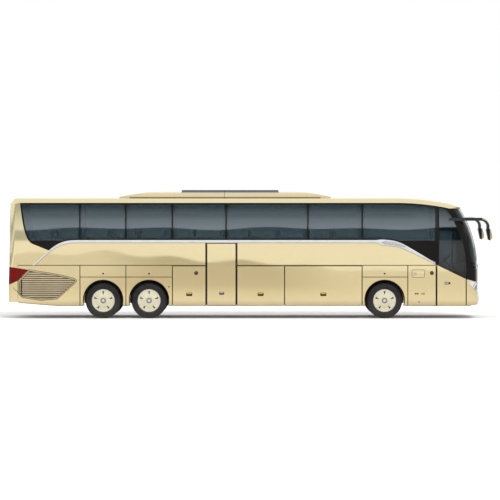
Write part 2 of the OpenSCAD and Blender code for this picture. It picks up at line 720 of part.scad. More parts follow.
// ---------- glass ----------
pane_gap = 6;
module side_windows() color([0.2, 0.25, 0.28, 0.5]) {
    for (side = [RIGHT, LEFT]) on_side(side)
        plate_xz(-half_width + glass_recess, -half_width + glass_recess + glass) {
            for (i = [0 : len(window_x)])
                intersection() {
                    side_glass_zone(4);
                    strip(i == 0 ? x_rear : window_x[i - 1] + pane_gap,
                          i == len(window_x) ? front_door_x0 - 24 : window_x[i] - pane_gap);
                }
            intersection() {
                cab_glass_zone(4);
                level(front_door_top + door_gap + 16, roof_height);
            }
            if (side == LEFT)
                intersection() {
                    cab_glass_zone(4);
                    level(0, front_door_top + door_gap + 4);
                }
        }
}
module rear_window() color([0.2, 0.25, 0.28, 0.5]) {
    leaning() box(x_rear + glass_recess, x_rear + glass_recess + glass, -rear_glass_y + 4, rear_glass_y - 4,
        rear_glass_z0 + 4, rear_glass_z1 - 4);
}

// ---------- roof unit, engine, wheel housings ----------
unit_x0 = drive_axle_x - 893;
unit_x1 = bay_split_x + 1367;
unit_rise_x0 = unit_x0 + 1263;
unit_rise_x1 = unit_x1 - 1124;
unit_z = roof_height + 154;
// One end of the unit's top line, from the roof up, in short straight steps.
unit_steps = 6;
function unit_end(x0, x1) = [for (i = [0 : unit_steps]) let (t = i / unit_steps)
    [x0 + (x1 - x0) * t, roof_height + 2 + (unit_z - roof_height - 2) * sin(90 * t)]];
module roof_air_conditioner() color("wheat") {
    back = unit_end(unit_x0, unit_rise_x0);
    front = unit_end(unit_x1, unit_rise_x1);
    intersection() {
        plate_xz(-900, 900) polygon(concat([[unit_x1, roof_height - 60], [unit_x0, roof_height - 60]], back,
            [for (i = [unit_steps : -1 : 0]) front[i]]));
        bar_yz(unit_x0 - 1, unit_x1 + 1) polygon(concat(
            [for (i = [-6 : 6]) [150 * i, roof_height + touch - pow(150 * i, 2) / (2 * crown_radius)]],
            [[890, roof_height + 40], [800, unit_z - 25], [640, unit_z + 5], [-640, unit_z + 5], [-800, unit_z - 25],
             [-890, roof_height + 40]]));
    }
    // condenser cover along the middle
    bar_yz(unit_x0 + 1840, unit_x0 + 4706) polygon([[-560, unit_z - 5], [560, unit_z - 5], [520, unit_z + 50], [-520, unit_z + 50]]);
}
module engine() color("gray") {
    box(x_rear + 330, x_rear + 1750, -420, 420, 560, 1330);
    for (s = [-1, 1], x = [x_rear + 500, x_rear + 1500])
        box(x, x + 80, min(s * 419, s * 440), max(s * 419, s * 440), rail_z, rail_z + 110);
}
housing_y = 555;
housing_top = 1210;
skin = 10;
module wheel_housings() color([0.15, 0.15, 0.15]) {
    for (side = [RIGHT, LEFT]) on_side(side) {
        wheel_cover(front_axle_x - 630, front_axle_x + 640);
        wheel_cover(trailing_axle_x - 640, drive_axle_x + 640);
    }
}
// A roof and an inner wall over the wheels, hung from the deck, with short end walls.
module wheel_cover(x0, x1) {
    box(x0, x1, -inner_y, -housing_y, housing_top - skin, housing_top);
    box(x0, x1, -housing_y - skin, -housing_y, rail_z, housing_top);
    for (x = [x0, x1 - skin])
        box(x, x + skin, -inner_y, -housing_y, rail_z + 61, housing_top);
    for (x = [x0 + 100, x1 - 150])
        box(x, x + 50, -900, -850, housing_top - 1, deck_z - deck);
}

// ---------- mirrors ----------
module mirrors() color("black") {
    for (side = [RIGHT, LEFT]) on_side(side) {
        arm_z = 2918;
        bend = 250;
        bend_x = x_front - 40;
        // arm and its bend
        plate_xz(-1400, -1330) {
            translate([front_door_x1 - 520, arm_z - 45]) square([bend_x - front_door_x1 + 520, 90]);
            intersection() {
                difference() {
                    translate([bend_x, arm_z - bend + 45]) circle(bend, $fn = 96);
                    translate([bend_x, arm_z - bend + 45]) circle(bend - 90, $fn = 96);
                }
                translate([bend_x - 1, arm_z - bend + 45]) square([bend + 2, bend + 2]);
            }
            translate([bend_x + bend - 90, arm_z - bend + 45 - 120]) square([90, 121]);
        }
        // head with its glass facing back
        plate_xz(-1450, -1210) polygon([[bend_x + bend - 105, arm_z - 300], [bend_x + bend + 25, arm_z - 280],
            [bend_x + bend + 80, arm_z - 460], [bend_x + bend + 80, arm_z - 560], [bend_x + bend + 20, arm_z - 630],
            [bend_x + bend - 45, arm_z - 600], [bend_x + bend - 75, arm_z - 450]]);
        // foot on the windscreen pillar
        box(front_door_x1 - 520, front_door_x1 - 430, -1331, -half_width + glass_recess - touch, arm_z - 40, arm_z + 40);
    }
}

// ---------- cab and seats ----------
cab_x0 = front_door_x0;
wheel_x = x_front - 960;
driver_y = 620;
module dashboard() color([0.2, 0.2, 0.2]) {
    difference() {
        union() {
            plate_xz(-inner_y + 130, inner_y - 130) polygon([[x_front - 720, platform_z + 330], [x_front - 760, platform_z + 560],
                [x_front - 330, platform_z + 600], [x_front - 330, platform_z + 250]]);
            box(x_front - 700, x_front - 420, driver_y - 300, driver_y + 300, platform_z, platform_z + 340);
        }
        // knee space
        box(x_front - 720, x_front - 600, driver_y - 220, driver_y + 220, platform_z - 1, platform_z + 330);
    }
    box(x_front - 420, x_front - 360, -well_y + 20, inner_y - 200, platform_z, platform_z + 300);
}
column_tilt = 38;
module steering_wheel() color([0.15, 0.15, 0.15]) {
    translate([wheel_x, driver_y, platform_z + 700]) rotate([0, -column_tilt, 0]) {
        rotate_extrude() translate([225, 0]) circle(15);
        for (a = [0, 120, 240]) rotate([0, 0, a]) translate([0, -18, -8]) cube([222, 36, 14]);
        translate([0, 0, -40]) cylinder(h = 60, r = 50);
    }
    translate([wheel_x, driver_y, platform_z + 700]) rotate([0, -column_tilt, 0])
        translate([0, 0, -314.4]) cylinder(h = 284.4, r = 28);
}
module driver_seat() color([0.25, 0.25, 0.28]) {
    x = wheel_x - 560;
    box(x - 200, x + 180, driver_y - 180, driver_y + 180, platform_z, platform_z + 330);
    box(x - 240, x + 260, driver_y - 250, driver_y + 250, platform_z + 329, platform_z + 460);
    plate_xz(driver_y - 240, driver_y + 240) polygon([[x - 240, platform_z + 400], [x - 120, platform_z + 400],
        [x - 210, platform_z + 1230], [x - 330, platform_z + 1230]]);
}
seat_x0 = x_rear + 620;
seat_width = 960;
module seat_pair(x, side) {
    y_out = inner_y - 40;
    y_in = y_out - seat_width;
    on_side(side) {
        box(x - 60, x + 300, -y_out + 200, -y_in - 300, deck_z, deck_z + 300);
        box(x - 110, x + 360, -y_out, -y_in, deck_z + 299, deck_z + 440);
        plate_xz(-y_out, -y_in) polygon([[x - 110, deck_z + 380], [x + 20, deck_z + 380], [x - 120, deck_z + 1130],
            [x - 230, deck_z + 1130]]);
    }
}
// The right side leaves out the rows over the middle stairs.
module passenger_seats() color([0.3, 0.33, 0.4]) {
    for (i = [0 : seat_rows - 1], side = [RIGHT, LEFT]) {
        x = seat_x0 + i * seat_pitch;
        over_stairs = side == RIGHT && x + 380 > mid_door_x0 - 60 && x - 260 < mid_door_x1 + 60;
        if (!over_stairs) seat_pair(x, side);
    }
}

// ---------- axles ----------
module air_spring(x, y, z0) {
    translate([x, y, z0]) cylinder(h = rail_z - z0, r = 100);
}
module front_axle() color("dimgray") {
    difference() {
        union() {
            box(front_axle_x - 45, front_axle_x + 45, -kingpin_y, kingpin_y, tyre_radius - 55, tyre_radius + 55);
            for (s = [-1, 1]) translate([front_axle_x, s * kingpin_y, tyre_radius - 55]) cylinder(h = 110, r = 45);
            for (s = [-1, 1]) box(front_axle_x - 100, front_axle_x + 100, s * rail_y - 100, s * rail_y + 100, tyre_radius - 60, tyre_radius + 90);
            for (s = [-1, 1]) air_spring(front_axle_x, s * rail_y, tyre_radius + 89);
        }
        for (s = [-1, 1]) translate([front_axle_x, s * kingpin_y, 0]) cylinder(h = 1000, r = 30 + running);
    }
}
module rigid_axle(x) {
    bar_along_y(x, -spindle_end, spindle_end, tyre_radius, spindle_radius);
    bar_along_y(x, -520, 520, tyre_radius, 85);
    for (s = [-1, 1]) {
        box(x - 90, x + 90, s * rail_y - 35, s * rail_y + 35, tyre_radius, tyre_radius + 110);
        air_spring(x, s * rail_y, tyre_radius + 100);
    }
}
module drive_axle() color("dimgray") {
    rigid_axle(drive_axle_x);
    translate([drive_axle_x, 0, tyre_radius]) sphere(r = 210);
    bar_along_x(drive_axle_x - 330, drive_axle_x, 0, tyre_radius, 90);
}
module trailing_axle() color("dimgray") {
    rigid_axle(trailing_axle_x);
}
module knuckle(side) color("dimgray") on_side(side) {
    translate([front_axle_x, -kingpin_y, tyre_radius - 120]) cylinder(h = 240, r = 30);
    for (z = [tyre_radius - 120, tyre_radius + 61])
        translate([front_axle_x - 60, -kingpin_y - 96, z]) cube([120, 140, 59]);
    box(front_axle_x - 60, front_axle_x + 60, -kingpin_y - 97, -kingpin_y - 52, tyre_radius - 120, tyre_radius + 120);
    bar_along_y(front_axle_x, -spindle_end, -kingpin_y - 90, tyre_radius, spindle_radius);
}

// ---------- wheels ----------
module tyre_ring(y) {
    h = tyre_width / 2;
    bar_radius = tyre_radius;
    translate([0, y, tyre_radius]) rotate([90, 0, 0]) rotate_extrude($fn = 96)
        polygon([[rim_radius + touch, -h + 34], [rim_radius + 40, -h + 14], [rim_radius + 110, -h], [bar_radius - 70, -h + 4],
                 [bar_radius - 18, -h + 22], [bar_radius, -h + 50], [bar_radius, h - 50], [bar_radius - 18, h - 22],
                 [bar_radius - 70, h - 4], [rim_radius + 110, h], [rim_radius + 40, h - 14], [rim_radius + touch, h - 34]]);
}
module tyres(name, x, side) color([0.12, 0.12, 0.12]) translate([x, 0, 0]) on_side(side) {
    tyre_ring(-half_track);
    if (x == drive_axle_x) tyre_ring(-half_track + twin_spacing);
}
// A rim with its disc, turned about the axle; face is how far the disc stands outside the rim's middle.
module rim(y, face) {
    h = tyre_width / 2;
    translate([0, y, tyre_radius]) rotate([90, 0, 0]) rotate_extrude($fn = 96)
        polygon([[hub_bore, face - 60], [150, face - 60], [170, face - 30], [rim_radius - 20, face - 30], [rim_radius - 20, -h + 30],
                 [rim_radius + 8, -h + 12], [rim_radius + 12, -h + 18], [rim_radius, -h + 30], [rim_radius, h - 30],
                 [rim_radius + 12, h - 18], [rim_radius + 8, h - 12], [rim_radius - 20, h - 30], [rim_radius - 20, face],
                 [160, face], [130, face + 30], [90, face + 30], [hub_bore, face + 30]]);
}
module wheel(name, x, side) color("gainsboro") translate([x, 0, 0]) on_side(side) {
    rim(-half_track, 80);
    if (x == drive_axle_x) {
        mirror_rim(-half_track + twin_spacing);
        translate([0, -half_track - 21, tyre_radius]) rotate([-90, 0, 0]) difference() {
            cylinder(h = twin_spacing + 42, r = 120);
            translate([0, 0, -1]) cylinder(h = twin_spacing + 44, r = hub_bore);
        }
    }
}
module mirror_rim(y) {
    translate([0, 2 * y, 0]) mirror([0, 1, 0]) rim(y, 80);
}

// ---------- doors ----------
module front_door_outline(inset) {
    intersection() {
        translate([front_door_x0 + door_gap + inset, sill_height + inset])
            square([body_length, front_door_top - sill_height - 2 * inset]);
        behind_nose(door_edge_radius + 6 - door_gap - inset);
    }
}
module front_door() color("wheat") {
    difference() {
        plate_xz(-half_width, -half_width + leaf) difference() {
            front_door_outline(0);
            intersection() {
                cab_glass_zone(glass_land);
                front_door_outline(glass_land + 10);
            }
        }
        plate_xz(-half_width - 1, -half_width + glass_recess + glass) intersection() {
            cab_glass_zone(0);
            front_door_outline(12);
        }
    }
    door_lugs(front_door_x1 - front_column_back - front_arm, front_arm_z);
}
module front_door_glass() color([0.2, 0.25, 0.28, 0.5]) {
    plate_xz(-half_width + glass_recess, -half_width + glass_recess + glass) intersection() {
        cab_glass_zone(4);
        front_door_outline(16);
    }
}
module mid_door() color("wheat") {
    box(mid_door_x0 + door_gap, mid_door_x1 - door_gap, -half_width, -half_width + leaf, sill_height, mid_door_top);
    door_lugs(mid_door_x1 - mid_column_back - mid_arm, mid_arm_z);
}
lug = 14;
module door_lugs(pin_x, heights) {
    for (z = heights) {
        for (dz = [-arm_thick / 2 - 3 - lug, arm_thick / 2 + 3])
            box(pin_x - 30, pin_x + 30, -half_width + leaf - 1, -door_pin_y + 26, z + dz, z + dz + lug);
        translate([pin_x, -door_pin_y, z - arm_thick / 2 - 4 - lug / 2]) cylinder(h = arm_thick + 8 + lug, r = pin_radius);
    }
}
module door_arms(column_x, reach, heights, z0, z1) color("dimgray") {
    column = [column_x, -column_y];
    pin = [column_x - reach, -door_pin_y];
    rest = atan2(pin[1] - column[1], pin[0] - column[0]);
    elbow = column + elbow_reach * [cos(rest - elbow_angle), sin(rest - elbow_angle)];
    translate([column[0], column[1], z0]) cylinder(h = z1 - z0, r = column_radius);
    for (z = heights) translate([0, 0, z - arm_thick / 2]) linear_extrude(arm_thick) difference() {
        union() {
            link(column, elbow, 22);
            link(elbow, pin, 22);
            translate(column) circle(40);
            translate(pin) circle(24);
        }
        translate(pin) circle(pin_radius + running);
    }
}
// A straight bar with round ends, between two points.
module link(a, b, r) {
    d = b - a;
    translate(a) rotate(atan2(d[1], d[0])) translate([0, -r]) square([norm(d), 2 * r]);
    translate(a) circle(r);
    translate(b) circle(r);
}

// ---------- luggage flaps ----------
module flap(i) color("wheat") {
    f = flap_span[i];
    on_side(f[2]) {
        box(f[0] + gap / 2, f[1] - gap / 2, -half_width, -half_width + leaf, sill_height, waist_height - gap);
        for (x = arm_x(i)) {
            for (dx = [-15 - 4 - lug, 15 + 4])
                box(x + dx, x + dx + lug, -half_width + leaf - 1, -lift_pivot_y + 26, lift_pin_z - 26, lift_pin_z + 26);
            bar_along_x(x - 20 - lug / 2, x + 20 + lug / 2, -lift_pivot_y, lift_pin_z, pin_radius);
        }
    }
}
module flap_arms(i) color("dimgray") {
    f = flap_span[i];
    on_side(f[2]) {
        bar_along_x(arm_x(i)[0] - 44, arm_x(i)[1] + 44, -lift_pivot_y, lift_pivot_z, tube_radius);
        for (x = arm_x(i))
            bar_yz(x - 15, x + 15) difference() {
                union() {
                    link([-lift_pivot_y, lift_pivot_z], [-lift_pivot_y, lift_pin_z], 20);
                    translate([-lift_pivot_y, lift_pivot_z]) circle(30);
                    translate([-lift_pivot_y, lift_pin_z]) circle(24);
                }
                translate([-lift_pivot_y, lift_pin_z]) circle(pin_radius + running);
            }
    }
}

// ---------- engine lid ----------
lid_set = 15;
module engine_lid() color("wheat") leaning() {
    box(x_rear + lid_set, x_rear + lid_set + leaf, -lid_y, lid_y, lid_z0, lid_z1 - 16);
    bar_along_y(x_rear + lid_set, -lid_y + 20, lid_y - 20, lid_z1 - 4, gap + 4 - touch);
    box(x_rear + lid_set, x_rear + lid_set + 7, -lid_y + 20, lid_y - 20, lid_z1 - 17, lid_z1 - 4);
}

// ---------- show ----------
underframe();
cabin_floor();
entrance_steps();
side_wall(RIGHT);  // right_side_wall
side_wall(LEFT);  // left_side_wall
side_panels();
side_grilles();
roof();
rear_wall();
rear_bumper();
windscreen_surround();
front_bumper();
windscreen();
side_windows();
rear_window();
roof_air_conditioner();
engine();
wheel_housings();
headlamps();
tail_lamps();
mirrors();
dashboard();
steering_wheel();
driver_seat();
passenger_seats();
front_axle();
drive_axle();
trailing_axle();
front_door();
front_door_glass();
door_arms(front_door_x1 - front_column_back, front_arm, front_arm_z, front_tread + front_rise + touch,  // front_door_arms
        front_door_top + door_gap + 20);
mid_door();
door_arms(mid_door_x1 - mid_column_back, mid_arm, mid_arm_z, bay_floor_z + tread_rise + touch,  // mid_door_arms
        mid_door_top + door_gap + 20);
engine_lid();
knuckle(RIGHT);  // right_knuckle
knuckle(LEFT);  // left_knuckle
for (i = [0 : len(FLAP_NAMES) - 1]) {
    flap(i);
    flap_arms(i);
}
for (i = [0 : len(WHEEL_NAMES) - 1]) {
    tyres(WHEEL_NAMES[i], wheel_place[i][0], wheel_place[i][1]);
    wheel(WHEEL_NAMES[i], wheel_place[i][0], wheel_place[i][1]);
}
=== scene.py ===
"""Looks of the three-axle touring coach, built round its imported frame. Metres, +X forward, +Z up."""
import bpy
import math
from mathutils import Matrix, Vector


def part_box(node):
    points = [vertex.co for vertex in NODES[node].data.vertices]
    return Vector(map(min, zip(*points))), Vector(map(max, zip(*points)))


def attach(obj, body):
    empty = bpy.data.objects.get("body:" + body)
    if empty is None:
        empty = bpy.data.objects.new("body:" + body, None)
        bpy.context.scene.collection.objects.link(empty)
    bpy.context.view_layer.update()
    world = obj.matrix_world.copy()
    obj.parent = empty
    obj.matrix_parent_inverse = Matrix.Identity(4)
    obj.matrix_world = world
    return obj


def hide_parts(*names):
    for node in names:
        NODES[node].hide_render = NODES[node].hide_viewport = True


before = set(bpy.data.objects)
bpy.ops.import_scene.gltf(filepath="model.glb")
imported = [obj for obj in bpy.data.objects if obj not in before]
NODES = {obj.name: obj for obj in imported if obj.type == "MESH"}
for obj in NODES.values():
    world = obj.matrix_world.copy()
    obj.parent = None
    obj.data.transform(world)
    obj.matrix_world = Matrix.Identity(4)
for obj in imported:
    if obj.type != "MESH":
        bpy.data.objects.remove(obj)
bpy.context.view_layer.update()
OPS = bpy.ops
RIGHT, LEFT = -1, 1
SIDES = {RIGHT: "right", LEFT: "left"}

# ---------- sizes taken from the frame ----------
WALL_Y = -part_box("right_side_wall")[0].y
REAR_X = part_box("rear_bumper")[0].x
FRONT_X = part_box("front_bumper")[1].x
ROOF_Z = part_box("roof")[1].z
SILL_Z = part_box("mid_door")[0].z
WHEELS = {}
for axle in ("front", "drive", "trailing"):
    for side in (RIGHT, LEFT):
        low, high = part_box(f"{SIDES[side]}_{axle}_tyre")
        WHEELS[f"{SIDES[side]}_{axle}"] = (side, (low + high) / 2)
TYRE_R = (high.z - low.z) / 2
TYRE_W = 0.295
TRACK = WALL_Y - 0.2
TWIN = 0.35
AXLES = {axle: WHEELS["right_" + axle][1].x for axle in ("front", "drive", "trailing")}
FRONT_AXLE, DRIVE_AXLE, TRAILING_AXLE = AXLES.values()
TAIL_X = REAR_X + 0.281
ENGINE_X = TRAILING_AXLE - 0.681
REAR_BAY_X = DRIVE_AXLE + 0.687
FRONT_BAY_X = FRONT_AXLE - 0.662
FUEL_X = FRONT_AXLE + 0.681
MID_DOOR = [v.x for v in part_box("mid_door")]
MID_DOOR_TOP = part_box("mid_door")[1].z
FRONT_DOOR = [FRONT_X - 1.34, FRONT_X - 0.453]
SPLIT_X = MID_DOOR[1] + 0.016 + 1.41
WAIST_JOINT = (1.557, 1.574)
ARCH_JOINT = (1.208, 1.228)
ARCH_Z, ARCH_R = 0.545, 0.594
BELT_Z = 2.303
GLASS_TOP = ROOF_Z - 0.175
BROW_X = FRONT_X - 2.54
BUMPER_Z = 0.985
LEAN_DEGREES = 1.5
PANE_Y = 1.27
SAME_POINT = 0.00002
WINDOW_X = [ENGINE_X, DRIVE_AXLE - 0.68, REAR_BAY_X, MID_DOOR[0] + 0.57, SPLIT_X + 0.686, FRONT_BAY_X]

# ---------- camera ----------
CAMERA_AWAY, CAMERA_Z = 75.0, 3.2
AIM_Z = 2.014
VIEW_WIDTH = 14.70
camera = bpy.data.objects.new("camera", bpy.data.cameras.new("camera"))
bpy.context.scene.collection.objects.link(camera)
camera.data.sensor_width = 36
camera.data.lens = camera.data.sensor_width * CAMERA_AWAY / VIEW_WIDTH
camera.data.clip_end = 1500
camera.location = (0.0, -WALL_Y - CAMERA_AWAY, CAMERA_Z)
camera.rotation_euler = (math.pi / 2 - math.atan((CAMERA_Z - AIM_Z) / CAMERA_AWAY), 0, 0)
bpy.context.scene.camera = camera


# ---------- modelling helpers ----------
def only(*objs):
    """Selects these objects and no others."""
    OPS.object.select_all(action="DESELECT")
    for o in objs:
        o.select_set(True)
    bpy.context.view_layer.objects.active = objs[0]


def edit(action="SELECT"):
    """Edit mode, with the whole mesh selected or none of it."""
    OPS.object.mode_set(mode="EDIT")
    OPS.mesh.select_all(action=action)


def edit_done():
    OPS.object.mode_set(mode="OBJECT")


def settle(obj):
    """The object's place goes into its mesh."""
    only(obj)
    OPS.object.transform_apply(location=True, rotation=True, scale=True)
    return obj


def moved(obj, matrix):
    obj.matrix_world = matrix @ obj.matrix_world
    return settle(obj)


def add_modifier(obj, kind, **settings):
    only(obj)
    m = obj.modifiers.new(kind.lower(), kind)
    for key, value in settings.items():
        setattr(m, key, value)
    OPS.object.modifier_apply(modifier=m.name)
    return obj


def rounded(obj, width, segments=2, angle=35):
    return add_modifier(obj, "BEVEL", width=width, segments=segments, limit_method="ANGLE",
                        angle_limit=math.radians(angle))


def tidy_mesh(obj):
    only(obj)
    edit()
    OPS.mesh.remove_doubles(threshold=SAME_POINT)
    OPS.mesh.normals_make_consistent(inside=False)
    edit_done()
    return obj


def delete_points(obj, unwanted):
    only(obj)
    edit("DESELECT")
    edit_done()
    for v in obj.data.vertices:
        v.select = unwanted(v.co)
    OPS.object.mode_set(mode="EDIT")
    OPS.mesh.delete(type="VERT")
    edit_done()


def bar(name, a, b, round_width, segments=2, slope=None):
    """A block between two corners, with rounded edges. slope draws in the face on +Z by (x, y)."""
    a, b = Vector(a), Vector(b)
    OPS.object.select_all(action="DESELECT")
    OPS.mesh.primitive_cube_add(size=1, location=(a + b) / 2)
    obj = bpy.context.object
    obj.name = name
    obj.scale = Vector([abs(b[i] - a[i]) for i in range(3)])
    settle(obj)
    if slope:
        edit("DESELECT")
        edit_done()
        for f in obj.data.polygons:
            f.select = f.normal.z > 0.9
        OPS.object.mode_set(mode="EDIT")
        OPS.transform.resize(value=(*slope, 1), center_override=(a + b) / 2)
        edit_done()
    return rounded(obj, round_width, segments)


def paths_of(outlines):
    return outlines if isinstance(outlines[0][0], (tuple, list)) else [outlines]


def made_mesh(name, curve):
    obj = bpy.data.objects.new(name, curve)
    bpy.context.scene.collection.objects.link(obj)
    only(obj)
    OPS.object.convert(target="MESH")
    return bpy.context.object


def plate(name, outlines, y0, y1, edge=0.0, steps=2, plane="XZ"):
    """A flat plate from outlines in a plane; a second outline inside the first is a hole."""
    curve = bpy.data.curves.new(name, "CURVE")
    curve.dimensions = "2D"
    curve.fill_mode = "BOTH"
    for points in paths_of(outlines):
        spline = curve.splines.new("POLY")
        spline.points.add(len(points) - 1)
        for p, q in zip(spline.points, points):
            p.co = (q[0], q[1], 0, 1)
        spline.use_cyclic_u = True
    depth = abs(y1 - y0) / 2
    edge = min(edge, depth * 0.95)
    curve.extrude = depth - edge
    curve.bevel_depth = edge
    curve.bevel_resolution = steps
    curve.offset = -edge
    obj = made_mesh(name, curve)
    upright = math.pi / 2
    if plane == "XZ":
        obj.rotation_euler = (upright, 0, 0)
        obj.location = (0, (y0 + y1) / 2, 0)
    else:
        obj.rotation_euler = (upright, 0, upright)
        obj.location = ((y0 + y1) / 2, 0, 0)
    return tidy_mesh(settle(obj))


def tube(name, points, radius, steps, resolution):
    curve = bpy.data.curves.new(name, "CURVE")
    curve.dimensions = "3D"
    spline = curve.splines.new("BEZIER")
    spline.bezier_points.add(len(points) - 1)
    for p, q in zip(spline.bezier_points, points):
        p.co = q
        p.handle_left_type = p.handle_right_type = "AUTO"
    curve.resolution_u = resolution
    curve.bevel_depth = radius
    curve.bevel_resolution = steps
    curve.use_fill_caps = True
    return tidy_mesh(made_mesh(name, curve))


def turned(name, profile, centre, side, steps, angle=360, start=0):
    """A shape turned about the Y line through centre. The profile is (radius, distance outward)."""
    cx, cz = centre
    first = math.radians(start)
    points = [Vector((cx + r * math.cos(first), side * out, cz + r * math.sin(first))) for r, out in profile]
    OPS.object.select_all(action="DESELECT")
    OPS.mesh.primitive_plane_add(size=0.01, location=(0, 0, 0))
    obj = bpy.context.object
    obj.name = name
    edit()
    OPS.mesh.merge(type="CENTER")
    OPS.transform.translate(value=points[0])
    for here, there in zip(points, points[1:]):
        OPS.mesh.extrude_region_move(TRANSFORM_OT_translate={"value": there - here})
    OPS.mesh.select_all(action="SELECT")
    OPS.mesh.spin(steps=steps, angle=math.radians(angle), center=(cx, 0, cz), axis=(0, 1, 0),
                  use_auto_merge=False)
    OPS.mesh.select_all(action="SELECT")
    OPS.mesh.remove_doubles(threshold=SAME_POINT)
    if angle < 360:
        OPS.mesh.select_all(action="DESELECT")
        OPS.mesh.select_non_manifold()
        OPS.mesh.fill_holes(sides=0)
        OPS.mesh.select_all(action="SELECT")
    OPS.mesh.normals_make_consistent(inside=False)
    edit_done()
    return obj


def out_from(base, *profile):
    """A profile whose distances outward start at base."""
    return [(r, base + out) for r, out in profile]


def copy_of(obj, name, matrix):
    new = obj.copy()
    new.data = obj.data.copy()
    new.name = name
    bpy.context.scene.collection.objects.link(new)
    moved(new, matrix)
    return tidy_mesh(new) if matrix.determinant() < 0 else new


def on_both(*makers):
    for make in makers:
        for side in (RIGHT, LEFT):
            make(side)


def forget(*objs):
    for obj in objs:
        bpy.data.objects.remove(obj)


def about_y(degrees, centre):
    t = Matrix.Translation((centre[0], 0, centre[1]))
    return t @ Matrix.Rotation(math.radians(degrees), 4, "Y") @ t.inverted()


MIRROR = Matrix.Scale(-1, 4, (0, 1, 0))


def joined(name, parts):
    only(*parts)
    OPS.object.join()
    obj = bpy.context.object
    obj.name = name
    obj.data.name = name
    return obj


def finish(obj, look, body="coach", angle=35):
    """Smooths, paints and seats a finished piece."""
    only(obj)
    OPS.object.shade_smooth_by_angle(angle=math.radians(angle))
    obj.data.materials.clear()
    obj.data.materials.append(look)
    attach(obj, body)
    return obj


def circle(x, z, r, n=24):
    turns = [2 * math.pi * i / n for i in range(n)]
    return [(x + r * math.cos(t), z + r * math.sin(t)) for t in turns]


def rectangle(x0, x1, z0, z1, r=0.0, n=5):
    if not r:
        return [(x0, z0), (x1, z0), (x1, z1), (x0, z1)]
    out = []
    for cx, cz, a in ((x1 - r, z0 + r, -90), (x1 - r, z1 - r, 0), (x0 + r, z1 - r, 90), (x0 + r, z0 + r, 180)):
        for i in range(n + 1):
            t = math.radians(a + 90 * i / n)
            out.append((cx + r * math.cos(t), cz + r * math.sin(t)))
    return out


def ring(x0, x1, z0, z1, width, r=0.0):
    """The outline of a frame: its outside and its hole."""
    inner = max(r - width, 0.0)
    return [rectangle(x0, x1, z0, z1, r), rectangle(x0 + width, x1 - width, z0 + width, z1 - width, inner)]


def bezier(p, steps=12):
    out = []
    for i in range(steps + 1):
        t = i / steps
        w = ((1 - t) ** 3, 3 * t * (1 - t) ** 2, 3 * t * t * (1 - t), t ** 3)
        out.append(tuple(sum(w[k] * p[k][j] for k in range(4)) for j in (0, 1)))
    return out


def offset_path(points, distance):
    """The path moved to its left by distance, or by each point's own distance."""
    out = []
    for i, p in enumerate(points):
        a, b = points[max(i - 1, 0)], points[min(i + 1, len(points) - 1)]
        dx, dz = b[0] - a[0], b[1] - a[1]
        length = math.hypot(dx, dz) or 1
        d = distance[i] if isinstance(distance, list) else distance
        out.append((p[0] - dz / length * d, p[1] + dx / length * d))
    return out


def ribbon(points, width):
    """The outline of a band along a path, of one width or of a width at each point."""
    widths = width if isinstance(width, list) else [width] * len(points)
    return offset_path(points, [w / 2 for w in widths]) + offset_path(points, [-w / 2 for w in widths])[::-1]


def crossings(outline, z):
    """Where a level line crosses an outline, from the rear."""
    xs = []
    for a, b in zip(outline, outline[1:] + outline[:1]):
        if (a[1] - z) * (b[1] - z) < 0:
            xs.append(a[0] + (b[0] - a[0]) * (z - a[1]) / (b[1] - a[1]))
    return sorted(xs)


# ---------- shader helpers and groups ----------
def put(tree, socket, value):
    """A number, a colour or another node's output goes into a socket."""
    if isinstance(value, bpy.types.NodeSocket):
        tree.links.new(value, socket)
    elif socket.type == "RGBA" and len(value) == 3:
        socket.default_value = (*value, 1)
    else:
        socket.default_value = value


def fill(tree, sockets, **values):
    for key, value in values.items():
        put(tree, sockets[key.replace("_", " ")], value)


def node(tree, kind, *values, **settings):
    """A node. Plain values fill its inputs in order, and a capitalised setting the input of that name."""
    n = tree.nodes.new("ShaderNode" + kind)
    for key, value in settings.items():
        if key[0].isupper():
            fill(tree, n.inputs, **{key: value})
        else:
            setattr(n, key, value)
    for socket, value in zip(n.inputs, values):
        put(tree, socket, value)
    return n


def calc(tree, kind, *values):
    return node(tree, "Math", *values, operation=kind).outputs[0]


def product(tree, a, b):
    return calc(tree, "MULTIPLY", a, b)


def mapped(tree, value, low, high, to_low=0.0, to_high=1.0):
    """A value carried from one range to another; each end is a number or a socket."""
    return node(tree, "MapRange", value, low, high, to_low, to_high, clamp=True).outputs[0]


def mix(tree, factor, a, b):
    n = node(tree, "Mix", factor, data_type="RGBA", blend_type="MIX")
    put(tree, n.inputs[6], a)
    put(tree, n.inputs[7], b)
    return n.outputs[2]


def ramp(tree, source, stops):
    n = node(tree, "ValToRGB", source)
    elements = n.color_ramp.elements
    while len(elements) < len(stops):
        elements.new(0.5)
    for e, (at, value) in zip(elements, stops):
        e.position = at
        e.color = (*value, 1)
    return n.outputs["Color"]


def object_place(tree):
    return node(tree, "TexCoord").outputs["Object"]


def object_axes(tree):
    return node(tree, "SeparateXYZ", object_place(tree)).outputs


def noise(tree, at, scale, detail, **more):
    return node(tree, "TexNoise", Vector=at, Scale=scale, Detail=detail, **more).outputs["Fac"]


COLOR, FLOAT, VECTOR = "NodeSocketColor", "NodeSocketFloat", "NodeSocketVector"


def new_group(name, inputs, **outputs):
    """A shader group, with its input and output sockets. A colour input starts from a tuple."""
    tree = bpy.data.node_groups.new(name, "ShaderNodeTree")
    for label, default in inputs.items():
        kind = COLOR if isinstance(default, tuple) else FLOAT
        tree.interface.new_socket(name=label, in_out="INPUT", socket_type=kind).default_value = default
    for label, kind in outputs.items():
        tree.interface.new_socket(name=label, in_out="OUTPUT", socket_type=kind)
    return tree, tree.nodes.new("NodeGroupInput").outputs, tree.nodes.new("NodeGroupOutput").inputs


